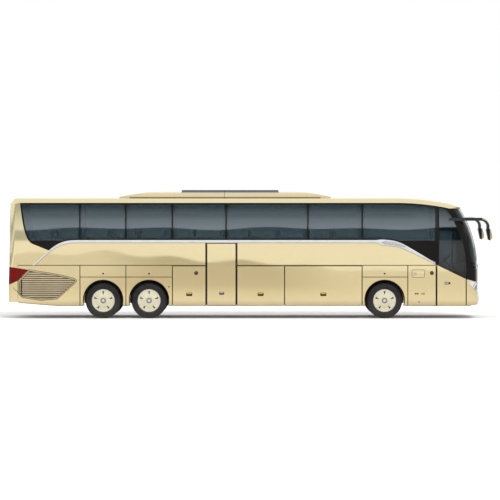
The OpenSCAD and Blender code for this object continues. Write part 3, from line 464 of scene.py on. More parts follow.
def make_tone_group():
    """Slow changes of tone over a surface, and the fine ones inside them."""
    t, i, o = new_group("tone_patches", {"Color": (0.8, 0.8, 0.8, 1), "Second": (0.7, 0.7, 0.7, 1),
                                         "Patch Scale": 1.0, "Fine Scale": 60.0, "Fine": 0.15},
                        Color=COLOR, Mask=FLOAT)
    at = object_place(t)
    slow = noise(t, at, i["Patch Scale"], 3.0, Roughness=0.55)
    spread = product(t, calc(t, "SUBTRACT", noise(t, at, i["Fine Scale"], 2.0), 0.5), i["Fine"])
    mask = mapped(t, calc(t, "ADD", slow, spread), 0.32, 0.68)
    fill(t, o, Color=mix(t, mask, i["Color"], i["Second"]), Mask=mask)
    return t


def make_dust_and_shade_group():
    """Darkening that thins out with height, in uneven patches: road dust on most finishes, and painted shade on the
    body paint and at the roof unit's foot.
    """
    t, i, o = new_group("road_dust", {"Color": (0.5, 0.5, 0.5, 1), "Dust": (0.3, 0.25, 0.18, 1), "Low": 0.3,
                                      "High": 1.2, "Amount": 0.4, "Uneven": 0.5}, Color=COLOR, Mask=FLOAT)
    at = object_place(t)
    z = node(t, "SeparateXYZ", at).outputs["Z"]
    wobble = product(t, calc(t, "SUBTRACT", noise(t, at, 2.2, 5.0), 0.5), i["Uneven"])
    mask = product(t, mapped(t, calc(t, "ADD", z, wobble), i["High"], i["Low"]), i["Amount"])
    fill(t, o, Color=mix(t, mask, i["Color"], i["Dust"]), Mask=mask)
    return t


def make_grain_group():
    """A fine raised grain, with the roughness that goes with it."""
    t, i, o = new_group("surface_grain", {"Scale": 400.0, "Strength": 0.2, "Depth": 0.0005, "Rough Low": 0.3,
                                          "Rough High": 0.5, "Rough Scale": 6.0}, Normal=VECTOR, Roughness=FLOAT)
    at = object_place(t)
    bump = node(t, "Bump", Height=noise(t, at, i["Scale"], 3.0), Strength=i["Strength"], Distance=i["Depth"])
    rough = mapped(t, noise(t, at, i["Rough Scale"], 4.0), 0.3, 0.7, i["Rough Low"], i["Rough High"])
    fill(t, o, Normal=bump.outputs[0], Roughness=rough)
    return t


def make_weave_group():
    """Plain woven cloth: threads that go over and under each other."""
    t, i, o = new_group("woven_cloth", {"Color": (0.1, 0.1, 0.2, 1), "Thread": (0.2, 0.2, 0.3, 1), "Threads": 400.0},
                        Color=COLOR, Normal=VECTOR, Roughness=FLOAT)
    at = object_place(t)
    waves = [node(t, "TexWave", bands_direction=d, Vector=at, Scale=i["Threads"], Distortion=0.6,
                  Detail=1.0).outputs["Fac"] for d in ("X", "Y", "Z")]
    height = calc(t, "MAXIMUM", calc(t, "MAXIMUM", waves[0], waves[1]), waves[2])
    bump = node(t, "Bump", Height=height, Strength=0.35, Distance=0.0008)
    fleck = product(t, height, noise(t, at, 90.0, 3.0))
    fill(t, o, Color=mix(t, fleck, i["Color"], i["Thread"]), Normal=bump.outputs[0],
         Roughness=mapped(t, fleck, 0.0, 1.0, 0.75, 0.95))
    return t


def make_above_line_group():
    """White above a sloping line in the side view and forward of its start, black elsewhere."""
    t, i, o = new_group("above_line", {"Start X": 0.0, "Start Z": 0.0, "Slope": 0.0}, Mask=FLOAT)
    at = object_axes(t)
    run = calc(t, "SUBTRACT", at["X"], i["Start X"])
    line = calc(t, "ADD", i["Start Z"], product(t, run, i["Slope"]))
    fill(t, o, Mask=product(t, calc(t, "GREATER_THAN", run, 0.0), calc(t, "GREATER_THAN", at["Z"], line)))
    return t


TONE, DUST_AND_SHADE, GRAIN, WEAVE, ABOVE = (make_tone_group(), make_dust_and_shade_group(), make_grain_group(), make_weave_group(),
                                   make_above_line_group())


# ---------- materials ----------
def new_material(name):
    material = bpy.data.materials.new(name)
    material.use_nodes = True
    tree = material.node_tree
    return material, tree, tree.nodes["Principled BSDF"].inputs


def shaded(name, color, second, patch=1.0, fine_scale=60.0, fine=0.2, grain=400.0, bump=0.2, depth=0.0005,
           rough=(0.3, 0.5), rough_scale=6.0, dust=0.0, dust_and_shade_color=(0.30, 0.25, 0.17), dust_and_shade_high=1.1,
           dust_and_shade_low=0.3, uneven=0.5, **sockets):
    """A finish with tone patches, a darkening towards the bottom (road dust, and painted shade on the body paint) and
    fine grain. Extra values go straight to the shader's sockets.
    """
    material, t, shader = new_material(name)
    surface = node(t, "Group", node_tree=TONE, Color=color, Second=second, Patch_Scale=patch, Fine_Scale=fine_scale,
                   Fine=fine).outputs["Color"]
    if dust:
        surface = node(t, "Group", node_tree=DUST_AND_SHADE, Color=surface, Dust=dust_and_shade_color, Amount=dust, High=dust_and_shade_high,
                       Low=dust_and_shade_low, Uneven=uneven).outputs["Color"]
    g = node(t, "Group", node_tree=GRAIN, Scale=grain, Strength=bump, Depth=depth, Rough_Low=rough[0],
             Rough_High=rough[1], Rough_Scale=rough_scale).outputs
    fill(t, shader, Base_Color=surface, Roughness=g["Roughness"], Normal=g["Normal"], **sockets)
    return material


PAINT = (0.80, 0.69, 0.415)
BLACK = (0.012, 0.011, 0.011)
PAINT_LOOK = dict(second=(0.785, 0.675, 0.405), patch=0.5, fine_scale=900.0, fine=0.3, grain=5.0, bump=0.03,
                  depth=0.0004, rough=(0.018, 0.028), rough_scale=1.5, Metallic=0.52, Coat_Weight=0.5,
                  Coat_Roughness=0.015)
# Low on the body sides the paint darkens to brown towards the sill: painted shade, set by the darkening values below.
paint = shaded("champagne_paint", PAINT, dust=0.85, dust_and_shade_color=(0.36, 0.26, 0.14), dust_and_shade_high=0.54, uneven=0.06,
               **PAINT_LOOK)
# The roof unit's paint turns brown towards its foot: painted shade.
roof_paint = shaded("roof_unit_paint", PAINT, dust=0.55, dust_and_shade_color=(0.46, 0.34, 0.19), dust_and_shade_high=3.72,
                    dust_and_shade_low=3.52, uneven=0.03, **PAINT_LOOK)
chrome = shaded("bright_chrome", (0.80, 0.82, 0.86), (0.72, 0.74, 0.79), patch=4.0, grain=600.0, bump=0.03,
                rough=(0.12, 0.22), Metallic=0.55)
black_gloss = shaded("black_gloss", (0.008, 0.007, 0.007), (0.011, 0.010, 0.010), grain=8.0, bump=0.02,
                     depth=0.0003, rough=(0.12, 0.18), Specular_IOR_Level=0.12)
black_plastic = shaded("black_plastic", (0.013, 0.012, 0.012), (0.02, 0.018, 0.017), patch=3.0, grain=500.0,
                       bump=0.3, rough=(0.42, 0.58), dust=0.15, Specular_IOR_Level=0.25)
rubber_seal = shaded("seal_rubber", (0.009, 0.007, 0.006), (0.014, 0.011, 0.009), grain=300.0, bump=0.25,
                     rough=(0.6, 0.75), dust=0.1, Specular_IOR_Level=0.2)
joint_seal = shaded("joint_seal", (0.05, 0.032, 0.014), (0.07, 0.045, 0.02), grain=300.0, bump=0.25,
                    rough=(0.6, 0.75), Specular_IOR_Level=0.2)
tyre_rubber = shaded("tyre_rubber", (0.016, 0.015, 0.016), (0.026, 0.024, 0.024), patch=5.0, fine_scale=200.0,
                     grain=700.0, bump=0.5, depth=0.0008, rough=(0.55, 0.75), dust=0.2,
                     dust_and_shade_color=(0.09, 0.08, 0.07), dust_and_shade_high=0.6, Specular_IOR_Level=0.3)
wheel_trim = shaded("wheel_trim_paint", (0.78, 0.74, 0.57), (0.71, 0.67, 0.51), patch=9.0, grain=500.0, bump=0.05,
                    rough=(0.22, 0.32), dust=0.1, Metallic=0.25, Coat_Weight=0.6, Coat_Roughness=0.05)
hub_metal = shaded("hub_metal", (0.42, 0.44, 0.47), (0.30, 0.31, 0.33), patch=20.0, grain=500.0, bump=0.15,
                   rough=(0.25, 0.42), Metallic=0.85)
frame_steel = shaded("chassis_paint", (0.035, 0.035, 0.037), (0.055, 0.052, 0.048), patch=2.5, grain=250.0,
                     bump=0.35, depth=0.001, rough=(0.45, 0.7), dust=0.6, dust_and_shade_color=(0.12, 0.10, 0.08),
                     dust_and_shade_high=1.3)
cast_iron = shaded("engine_iron", (0.16, 0.16, 0.165), (0.09, 0.085, 0.08), patch=4.0, grain=180.0, bump=0.6,
                   depth=0.0015, rough=(0.5, 0.75), dust=0.5, dust_and_shade_color=(0.10, 0.08, 0.06), dust_and_shade_high=1.4,
                   Metallic=0.5)
floor_vinyl = shaded("floor_covering", (0.07, 0.075, 0.085), (0.09, 0.095, 0.105), patch=6.0, fine_scale=300.0,
                     fine=0.9, grain=600.0, bump=0.3, rough=(0.5, 0.7))
grille_metal = shaded("grille_paint", (0.54, 0.45, 0.29), (0.46, 0.38, 0.25), patch=4.0, grain=400.0, bump=0.15,
                      rough=(0.3, 0.42), dust=0.35, dust_and_shade_high=1.3, Metallic=0.2)
cabin_plastic = shaded("cabin_plastic", (0.13, 0.13, 0.135), (0.16, 0.16, 0.165), patch=4.0, grain=450.0,
                       bump=0.35, rough=(0.45, 0.6))
cabin_trim = shaded("cabin_lining", (0.16, 0.17, 0.18), (0.13, 0.14, 0.15), patch=3.0, grain=350.0, bump=0.4,
                    rough=(0.7, 0.85))
# The grips over the flap handles' black cups are coloured yellow as a painted highlight along the handle's top.
handle_yellow = shaded("handle_yellow", (0.80, 0.62, 0.05), (0.72, 0.54, 0.04), patch=30.0, grain=300.0, bump=0.15,
                       rough=(0.3, 0.4))
silver_trim = shaded("silver_trim", (0.62, 0.64, 0.68), (0.52, 0.54, 0.58), patch=15.0, grain=500.0, bump=0.08,
                     rough=(0.2, 0.32), Metallic=0.75)
marker_red = shaded("marker_red", (0.10, 0.012, 0.010), (0.07, 0.008, 0.008), patch=40.0, grain=500.0, bump=0.3,
                    rough=(0.15, 0.25), Coat_Weight=0.5)
marker_amber = shaded("marker_amber", (0.75, 0.28, 0.02), (0.62, 0.2, 0.01), patch=40.0, grain=260.0, bump=0.35,
                      rough=(0.12, 0.2), Coat_Weight=0.5)
mirror_silver = shaded("mirror_silver", (0.86, 0.88, 0.9), (0.83, 0.85, 0.87), patch=3.0, grain=4.0, bump=0.01,
                       rough=(0.015, 0.03), Metallic=1.0)
blank_white = shaded("blank_plate", (0.74, 0.74, 0.72), (0.70, 0.70, 0.68), patch=12.0, grain=500.0, bump=0.1,
                     rough=(0.35, 0.45))


def split_finish(name, base, mask_in):
    """A copy of a finish that turns to black trim where the mask is white."""
    material = base.copy()
    material.name = name
    t = material.node_tree
    shader = t.nodes["Principled BSDF"].inputs
    mask = mask_in(t)
    surface = shader["Base Color"].links[0].from_socket
    metal = product(t, calc(t, "SUBTRACT", 1.0, mask), shader["Metallic"].default_value)
    fill(t, shader, Base_Color=mix(t, mask, surface, BLACK), Metallic=metal)
    return material


def above_cab_line(t):
    return node(t, "Group", node_tree=ABOVE, Start_X=FRONT_DOOR[0] - 0.030, Start_Z=1.594,
                Slope=-0.482).outputs["Mask"]


def facing_forward(t):
    """Black, except the outer half of the mirror arms' bends and the front half of the heads."""
    bend_x, bend_z, bend_r, head_ahead = 6.78, 2.668, 0.256, 0.262
    at = object_axes(t)
    dx, dz = calc(t, "SUBTRACT", at["X"], bend_x), calc(t, "SUBTRACT", at["Z"], bend_z)
    from_bend = calc(t, "SQRT", calc(t, "ADD", product(t, dx, dx), product(t, dz, dz)))
    outer = product(t, calc(t, "GREATER_THAN", from_bend, bend_r), calc(t, "GREATER_THAN", dz, 0.0))
    ahead = product(t, calc(t, "GREATER_THAN", dx, head_ahead), calc(t, "LESS_THAN", dz, 0.0))
    painted = product(t, calc(t, "MAXIMUM", outer, ahead), calc(t, "GREATER_THAN", dx, 0.04))
    return calc(t, "SUBTRACT", 1.0, painted)


def top_cover(t):
    """The condenser cover and the band of the housing that it stands on."""
    at = object_axes(t)
    span = product(t, calc(t, "GREATER_THAN", at["X"], -2.03), calc(t, "LESS_THAN", at["X"], 0.85))
    return product(t, calc(t, "GREATER_THAN", at["Z"], ROOF_Z + 0.118), span)


paint_black_top = split_finish("champagne_paint_and_black", paint, above_cab_line)
mirror_shell = split_finish("mirror_shell", paint, facing_forward)
roof_unit_shell = split_finish("roof_unit_shell", roof_paint, top_cover)


def glazing(name, tint, ior):
    material, t, shader = new_material(name)
    tone = node(t, "Group", node_tree=TONE, Color=tint, Second=tuple(c * 0.96 for c in tint), Patch_Scale=0.8)
    g = node(t, "Group", node_tree=GRAIN, Scale=1.2, Strength=0.02, Depth=0.0002, Rough_Low=0.0,
             Rough_High=0.02).outputs
    fill(t, shader, Base_Color=tone.outputs["Color"], Roughness=g["Roughness"], Normal=g["Normal"], IOR=ior,
         Transmission_Weight=1.0)
    return material


tinted_glass = glazing("tinted_glass", (0.13, 0.16, 0.175), 2.55)
door_glass = glazing("door_glass", (0.13, 0.18, 0.21), 1.5)
front_glass = glazing("front_glass", (0.16, 0.20, 0.215), 1.4)
lamp_glass = glazing("lamp_lens", (0.93, 0.94, 0.95), 1.5)


def lens(name, color, second, spacing, clear):
    """Moulded lamp lens with upright ribs."""
    material = shaded(name, color, second, patch=8.0, fine_scale=120.0, grain=300.0, bump=0.05, rough=(0.12, 0.20),
                      Coat_Weight=0.1, Coat_Roughness=0.05, Specular_IOR_Level=0.12, Transmission_Weight=clear)
    t = material.node_tree
    waves = node(t, "TexWave", bands_direction="DIAGONAL", Vector=object_place(t), Scale=spacing, Distortion=0.0)
    bump = node(t, "Bump", Height=waves.outputs["Fac"], Strength=0.2, Distance=0.001)
    fill(t, t.nodes["Principled BSDF"].inputs, Normal=bump.outputs[0])
    return material


red_lens = lens("red_lens", (0.19, 0.002, 0.003), (0.14, 0.002, 0.002), 40.0, 0.05)
clear_lens = lens("clear_lens", (0.80, 0.83, 0.87), (0.74, 0.77, 0.82), 60.0, 0.1)


def cloth(name, color, thread, threads):
    material, t, shader = new_material(name)
    w = node(t, "Group", node_tree=WEAVE, Color=color, Thread=thread, Threads=threads).outputs
    fill(t, shader, Base_Color=w["Color"], Normal=w["Normal"], Roughness=w["Roughness"], Sheen_Weight=0.35,
         Sheen_Roughness=0.4)
    return material


seat_cloth = cloth("seat_cloth", (0.045, 0.06, 0.12), (0.10, 0.13, 0.22), 420.0)
seat_side = cloth("seat_side_cloth", (0.05, 0.05, 0.055), (0.09, 0.09, 0.10), 500.0)

# ---------- the frame's own nodes ----------
ENDINGS = (("_flap", paint), ("_flap_arms", frame_steel), ("_door_arms", frame_steel), ("_axle", frame_steel),
           ("_knuckle", frame_steel), ("_wheel", hub_metal), ("_tyre", tyre_rubber), ("_side_wall", paint_black_top))
FINISHES = {
    "underframe": frame_steel, "wheel_housings": frame_steel, "cabin_floor": floor_vinyl,
    "entrance_steps": floor_vinyl, "side_panels": paint, "side_grilles": black_plastic, "roof": paint,
    "rear_wall": paint, "rear_bumper": paint, "front_bumper": paint, "mid_door": paint, "engine_lid": paint,
    "front_door": paint_black_top, "windscreen_surround": black_gloss, "windscreen": front_glass,
    "side_windows": tinted_glass, "rear_window": tinted_glass, "front_door_glass": door_glass,
    "roof_air_conditioner": roof_unit_shell, "engine": cast_iron, "headlamps": clear_lens, "tail_lamps": red_lens,
    "mirrors": mirror_shell, "dashboard": cabin_plastic, "steering_wheel": cabin_plastic,
}
for name, obj in NODES.items():
    look = FINISHES.get(name) or next((look for ending, look in ENDINGS if name.endswith(ending)), None)
    if look:
        obj.data.materials.clear()
        obj.data.materials.append(look)


# ---------- light, floor and the surroundings that the bodywork mirrors ----------
def seen_directly(t):
    """One for what the camera sees, also through glass."""
    rays = node(t, "LightPath").outputs
    return calc(t, "MINIMUM", calc(t, "ADD", rays["Is Camera Ray"], rays["Is Transmission Ray"]), 1.0)


def make_world():
    world = bpy.data.worlds.new("studio")
    bpy.context.scene.world = world
    world.use_nodes = True
    t = world.node_tree
    strength = mapped(t, seen_directly(t), 0.0, 1.0, 0.85, 1.0)
    fill(t, t.nodes["Background"].inputs, Color=(1, 1, 1), Strength=strength)


def make_lamps():
    for name, strength, angle, pitch, turn in (("key", 1.25, 24, 42, 22), ("fill", 0.30, 60, 55, -60)):
        data = bpy.data.lights.new(name, "SUN")
        data.energy = strength
        data.angle = math.radians(angle)
        lamp = bpy.data.objects.new(name, data)
        lamp.rotation_euler = (math.radians(pitch), 0, math.radians(turn))
        lamp.visible_glossy = False
        bpy.context.scene.collection.objects.link(lamp)


def paler_away(t, x):
    """Zero abreast of the middle door, more towards both ends."""
    away = calc(t, "ABSOLUTE", calc(t, "ADD", x, 1.8))
    return mapped(t, away, 3.0, 6.2, 0.0, 0.62)


def stage_material(obj):
    material, t = new_material(obj.name)[:2]
    t.nodes.clear()
    obj.data.materials.append(material)
    return t


def make_floor():
    OPS.object.select_all(action="DESELECT")
    OPS.mesh.primitive_plane_add(size=600, location=(0, 0, 0))
    floor = bpy.context.object
    floor.name = "floor"
    t = stage_material(floor)
    away = node(t, "VectorMath", object_place(t), operation="LENGTH").outputs["Value"]
    far = ramp(t, calc(t, "DIVIDE", away, 100.0), [(0.10, (0.80, 0.77, 0.70)), (0.24, (0.60, 0.53, 0.42)),
                                                   (0.34, (0.34, 0.28, 0.19)), (0.60, (0.26, 0.21, 0.13))])
    far = mix(t, paler_away(t, object_axes(t)["X"]), far, (0.76, 0.72, 0.63))
    mirrored = node(t, "BsdfDiffuse", Color=far)
    shown = node(t, "BsdfDiffuse", Color=(0.94, 0.94, 0.94))
    glow = node(t, "Emission", Color=(1, 1, 1), Strength=0.06)
    bright = node(t, "AddShader", shown.outputs[0], glow.outputs[0])
    both = node(t, "MixShader", seen_directly(t), mirrored.outputs[0], bright.outputs[0])
    node(t, "OutputMaterial", both.outputs[0])


RING_R, RING_TOP = 60.0, 40.0


def wave(t, angle, height, length, crest, size):
    """A wave added to a height. Its length and the crest's place are metres round the ring from the right."""
    turns = 2 * math.pi * RING_R / length
    phase = turns * math.pi / 2 + math.pi / 2 - 2 * math.pi * crest / length
    swing = calc(t, "SINE", calc(t, "ADD", product(t, angle, turns), phase))
    return calc(t, "ADD", height, product(t, swing, size))


def make_surroundings():
    """A tall ring round the stage, seen in reflections only: dark ground line, pale band, darker band, sky."""
    OPS.object.select_all(action="DESELECT")
    OPS.mesh.primitive_cylinder_add(vertices=96, radius=RING_R, depth=RING_TOP, end_fill_type="NOTHING",
                                    location=(0, 0, RING_TOP / 2 - 0.01))
    stage_ring = bpy.context.object
    stage_ring.name = "surroundings"
    settle(stage_ring)
    t = stage_material(stage_ring)
    at = object_axes(t)
    x, h = at["X"], calc(t, "ADD", at["Z"], (CAMERA_Z - 2.3) * RING_R / CAMERA_AWAY)
    angle = calc(t, "ARCTAN2", at["Y"], x)

    def above(height, level, soft):
        return mapped(t, height, level - soft, level + soft)

    slope = product(t, node(t, "Clamp", x, -7.5, 12.0).outputs[0], 0.068)
    hills = wave(t, angle, wave(t, angle, calc(t, "ADD", h, slope), 3.6, -0.44, -0.10), 8.3, 1.0, -0.05)
    ridge = wave(t, angle, wave(t, angle, h, 5.04, -4.32, -0.05), 8.9, 2.0, -0.04)
    ground = ramp(t, calc(t, "DIVIDE", h, 1.5), [(0.0, (0.62, 0.55, 0.43)), (0.30, (0.50, 0.42, 0.30)),
                                                 (0.72, (0.24, 0.19, 0.11)), (0.95, (0.20, 0.155, 0.09))])
    sky = ramp(t, calc(t, "DIVIDE", h, 8.0), [(0.36, (0.84, 0.98, 1.08)), (0.42, (0.58, 0.70, 0.77)),
                                              (0.47, (0.28, 0.36, 0.39)), (0.505, (0.05, 0.09, 0.10)),
                                              (0.54, (0.05, 0.09, 0.10)), (0.57, (0.80, 0.82, 0.80)),
                                              (0.62, (1.0, 1.0, 0.97))])
    ground = mix(t, paler_away(t, x), ground, (0.92, 0.89, 0.80))
    tones = mix(t, above(hills, 1.148, 0.02), ground, (1.0, 0.99, 0.95))
    tones = mix(t, above(h, 2.32, 0.03), tones, (0.07, 0.13, 0.165))
    tones = mix(t, above(ridge, 2.94, 0.02), tones, sky)
    glow = node(t, "Emission", Color=tones, Strength=1.0)
    clear = node(t, "BsdfTransparent")
    glossy = node(t, "LightPath").outputs["Is Glossy Ray"]
    both = node(t, "MixShader", glossy, clear.outputs[0], glow.outputs[0])
    node(t, "OutputMaterial", both.outputs[0])
    for rays in ("shadow", "diffuse", "camera", "transmission"):
        setattr(stage_ring, "visible_" + rays, False)


make_world()
make_lamps()
make_floor()
make_surroundings()
bpy.context.scene.view_settings.view_transform = "Standard"


# ---------- wheels and tyres ----------
def tyre(name, middle, centre, side):
    """A road tyre: ribbed tread with four grooves, lugged shoulders, side walls with rings and a bead."""
    r, h = TYRE_R, TYRE_W / 2
    groove = 0.012
    profile = [(0.2865, h - 0.036), (0.291, h - 0.022), (0.326, h - 0.014), (0.345, h - 0.006), (0.350, h - 0.003),
               (0.396, h), (0.425, h - 0.001), (0.430, h - 0.005), (0.455, h - 0.005), (0.470, h - 0.012),
               (0.478, h - 0.009), (0.504, h - 0.022), (0.516, h - 0.034), (r, h - 0.050)]
    for at in (0.062, 0.022):
        profile += [(r, at + 0.006), (r - groove, at + 0.004), (r - groove, at - 0.004), (r, at - 0.006)]
    full = profile + [(a, -b) for a, b in reversed(profile)]
    full += [(0.2865, -h + 0.036), (0.2855, 0), (0.2865, h - 0.036)]
    body = turned(name, [(a, b + middle) for a, b in full], centre, side, 96)
    x, z = centre
    lug = bar("lug", (x - 0.016, side * (middle + h - 0.052), z + r - 0.020),
              (x + 0.016, side * (middle + h - 0.018), z + r - 0.001), 0.003, 1, slope=(0.8, 0.55))
    inboard = Matrix.Translation((0, 2 * side * middle, 0)) @ MIRROR
    lugs = []
    for i in range(48):
        lugs.append(copy_of(lug, "lug", about_y(i * 7.5, centre)))
        lugs.append(copy_of(lug, "lug", inboard @ about_y(i * 7.5 + 3.75, centre)))
    forget(lug)
    return joined(name, [body] + lugs)


def trim_disc(name, centre, side):
    """Domed wheel trim with five rounded slots and a rolled rim."""
    disc = turned(name, out_from(TRACK, (0.296, 0.128), (0.327, 0.1345), (0.331, 0.139), (0.327, 0.1445),
                                 (0.318, 0.147), (0.300, 0.1465), (0.270, 0.140), (0.235, 0.139), (0.200, 0.146),
                                 (0.160, 0.152), (0.120, 0.155), (0.088, 0.157), (0.083, 0.155), (0.083, 0.135),
                                 (0.120, 0.135), (0.200, 0.128), (0.296, 0.126), (0.296, 0.128)), centre, side, 90)
    x, z = centre
    slot = [(-0.009, 0.185), (0.009, 0.185), (0.016, 0.235), (0.030, 0.268), (0.026, 0.280), (-0.026, 0.280),
            (-0.030, 0.268), (-0.016, 0.235)]
    cutter = plate("slot", [(x + a, z + b) for a, b in slot], side * (TRACK + 0.10), side * (TRACK + 0.17))
    for i in range(5):
        slot_shape = copy_of(cutter, "slot", about_y(72 * i, centre))
        add_modifier(disc, "BOOLEAN", operation="DIFFERENCE", object=slot_shape, solver="EXACT")
        forget(slot_shape)
    forget(cutter)
    return disc


def hub_cap(name, centre, side):
    cap = turned(name, out_from(TRACK, (0.0, 0.166), (0.040, 0.165), (0.052, 0.160), (0.056, 0.150), (0.078, 0.149),
                                (0.084, 0.145), (0.084, 0.120), (0.0, 0.120)), centre, side, 48)
    nut = turned("nut", out_from(TRACK, (0.0, 0.157), (0.0055, 0.157), (0.0075, 0.155), (0.0075, 0.146),
                                 (0.0, 0.146)), (centre[0] + 0.066, centre[1]), side, 6)
    nuts = [copy_of(nut, "nut", about_y(45 * i, centre)) for i in range(8)]
    forget(nut)
    return joined(name, [cap] + nuts)


def dress_wheels():
    for corner, (side, middle) in WHEELS.items():
        centre = (middle.x, middle.z)
        body = corner + "_wheel_body"
        rubber = tyre(corner + "_tyre_tread", TRACK, centre, side)
        if corner.endswith("drive"):
            rubber = joined(corner + "_tyre_tread", [rubber, tyre("inner_tyre", TRACK - TWIN, centre, side)])
        finish(rubber, tyre_rubber, body, 28)
        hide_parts(corner + "_tyre")
        finish(trim_disc(corner + "_wheel_trim", centre, side), wheel_trim, body, 30)
        finish(hub_cap(corner + "_hub_cap", centre, side), hub_metal, body, 30)
        for part, look, steps, angle, profile in (
                ("hub_boss", wheel_trim, 32, 30,
                 ((0.0, 0.1695), (0.030, 0.1690), (0.038, 0.166), (0.038, 0.160), (0.0, 0.160))),
                ("trim_rim", silver_trim, 90, 40,
                 ((0.3185, 0.1455), (0.331, 0.1395), (0.336, 0.1420), (0.336, 0.1470), (0.330, 0.1500),
                  (0.322, 0.1495), (0.3185, 0.1455))),
                ("trim_back", black_plastic, 48, 30,
                 ((0.09, 0.126), (0.285, 0.120), (0.285, 0.116), (0.09, 0.122), (0.09, 0.126)))):
            shape = turned(f"{corner}_{part}", out_from(TRACK, *profile), centre, side, steps)
            finish(shape, look, body, angle)


dress_wheels()


# ---------- helpers for trim on the sides, nose and tail ----------
def on_side(name, outlines, side, y0, y1, edge, look, steps=1, body="coach", angle=35):
    """A flat piece between two distances from the coach's middle."""
    return finish(plate(name, outlines, side * y0, side * y1, edge, steps), look, body, angle)


def side_piece(name, outlines, side, look, out=0.0015, body="coach", depth=0.0015, edge=0.0008):
    """A flat piece on the outer face of one side, which it stands out from."""
    return on_side(name, outlines, side, WALL_Y - depth, WALL_Y + out, edge, look, 1, body)


FACINGS = {"+X": (0, 1, 8.0), "-X": (0, -1, -9.0), "+Y": (1, 1, 3.0), "-Y": (1, -1, -3.0)}
SIDEWAYS = {RIGHT: "-Y", LEFT: "+Y"}


def laid_on(name, outlines, node_name, lift, thickness, facing="+X", cuts=14, rows=1):
    """A thin piece cut from a flat outline and laid on the curved face of a node, on the side that it faces."""
    axis, sign, at = FACINGS[facing]
    obj = plate(name, outlines, at, at + 0.001, 0, 1, ("YZ", "XZ")[axis])
    only(obj)
    edit()
    for across, count, column in ((1 - axis, cuts, 0), (2, rows, 1)):
        reach = [p[column] for path in paths_of(outlines) for p in path]
        normal, point = [0, 0, 0], [0, 0, 0]
        normal[across] = 1
        for i in range(1, count):
            point[across] = min(reach) + (max(reach) - min(reach)) * i / count
            OPS.mesh.select_all(action="SELECT")
            OPS.mesh.bisect(plane_co=point, plane_no=normal)
    edit_done()
    low_face = min(v.co[axis] for v in obj.data.vertices)
    delete_points(obj, lambda co: co[axis] > low_face + 0.0005)
    add_modifier(obj, "SHRINKWRAP", target=NODES[node_name], wrap_method="PROJECT", wrap_mode="ABOVE_SURFACE",
                 offset=lift, use_project_x=axis == 0, use_project_y=axis == 1, use_project_z=False,
                 use_negative_direction=sign > 0, use_positive_direction=sign < 0)
    delete_points(obj, lambda co: abs(co[axis] - at) < 0.01)
    edit()
    OPS.mesh.normals_make_consistent(inside=False)
    edit_done()
    outward = sum(f.normal[axis] * f.area for f in obj.data.polygons)
    add_modifier(obj, "SOLIDIFY", thickness=thickness, offset=-1 if outward * sign > 0 else 1, use_even_offset=True)
    return tidy_mesh(obj)


def slice_of(name, node_name, x0, x1, thickness):
    """A narrow band that follows a node's whole outside, between two upright planes."""
    obj = NODES[node_name].copy()
    obj.data = NODES[node_name].data.copy()
    obj.name = name
    obj.parent = None
    bpy.context.scene.collection.objects.link(obj)
    only(obj)
    edit()
    OPS.mesh.remove_doubles(threshold=0.0001)
    for x, behind in ((x0, True), (x1, False)):
        OPS.mesh.select_all(action="SELECT")
        OPS.mesh.bisect(plane_co=(x, 0, 0), plane_no=(1, 0, 0), clear_inner=behind, clear_outer=not behind)
    edit_done()
    return add_modifier(obj, "SOLIDIFY", thickness=thickness, offset=1)


# ---------- windows: black borders printed on the glass ----------
def roof_line(x, inset=0.0):
    """Height of the glass's upper edge: level, then falling on a wide and a tighter bend."""
    edge, wide, tight = ROOF_Z - GLASS_TOP, 8.0, 2.0
    base = ROOF_Z - wide
    if x <= BROW_X:
        return GLASS_TOP - inset
    turn = math.radians(10.4)
    if x <= BROW_X + (wide - edge) * math.sin(turn):
        return base + math.sqrt((wide - edge - inset) ** 2 - (x - BROW_X) ** 2)
    cx, cz = BROW_X + (wide - tight) * math.sin(turn), base + (wide - tight) * math.cos(turn)
    return cz + math.sqrt((tight - edge - inset) ** 2 - (x - cx) ** 2)


def from_rear(*points):
    return [(REAR_X + x, z) for x, z in points]


def from_front(*points):
    return [(FRONT_X - x, z) for x, z in points]


TAIL_CURVE = bezier(from_rear((0.343, 3.400), (0.410, 2.850), (0.470, 2.300), (0.713, 2.188)), 16)
TAIL_SWEEP = bezier(from_rear((1.195, 1.996), (1.420, 2.202), (1.660, 2.303), (1.960, 2.303)))
FRONT_SWEEP = bezier(from_front((2.770, 2.303), (2.400, 2.290), (2.200, 2.120)) + [(FRONT_DOOR[0], 1.612)])


def tail_edge(z):
    for a, b in zip(TAIL_CURVE, TAIL_CURVE[1:]):
        if b[1] <= z <= a[1]:
            return a[0] + (b[0] - a[0]) * (a[1] - z) / (a[1] - b[1])
    return TAIL_CURVE[-1][0]


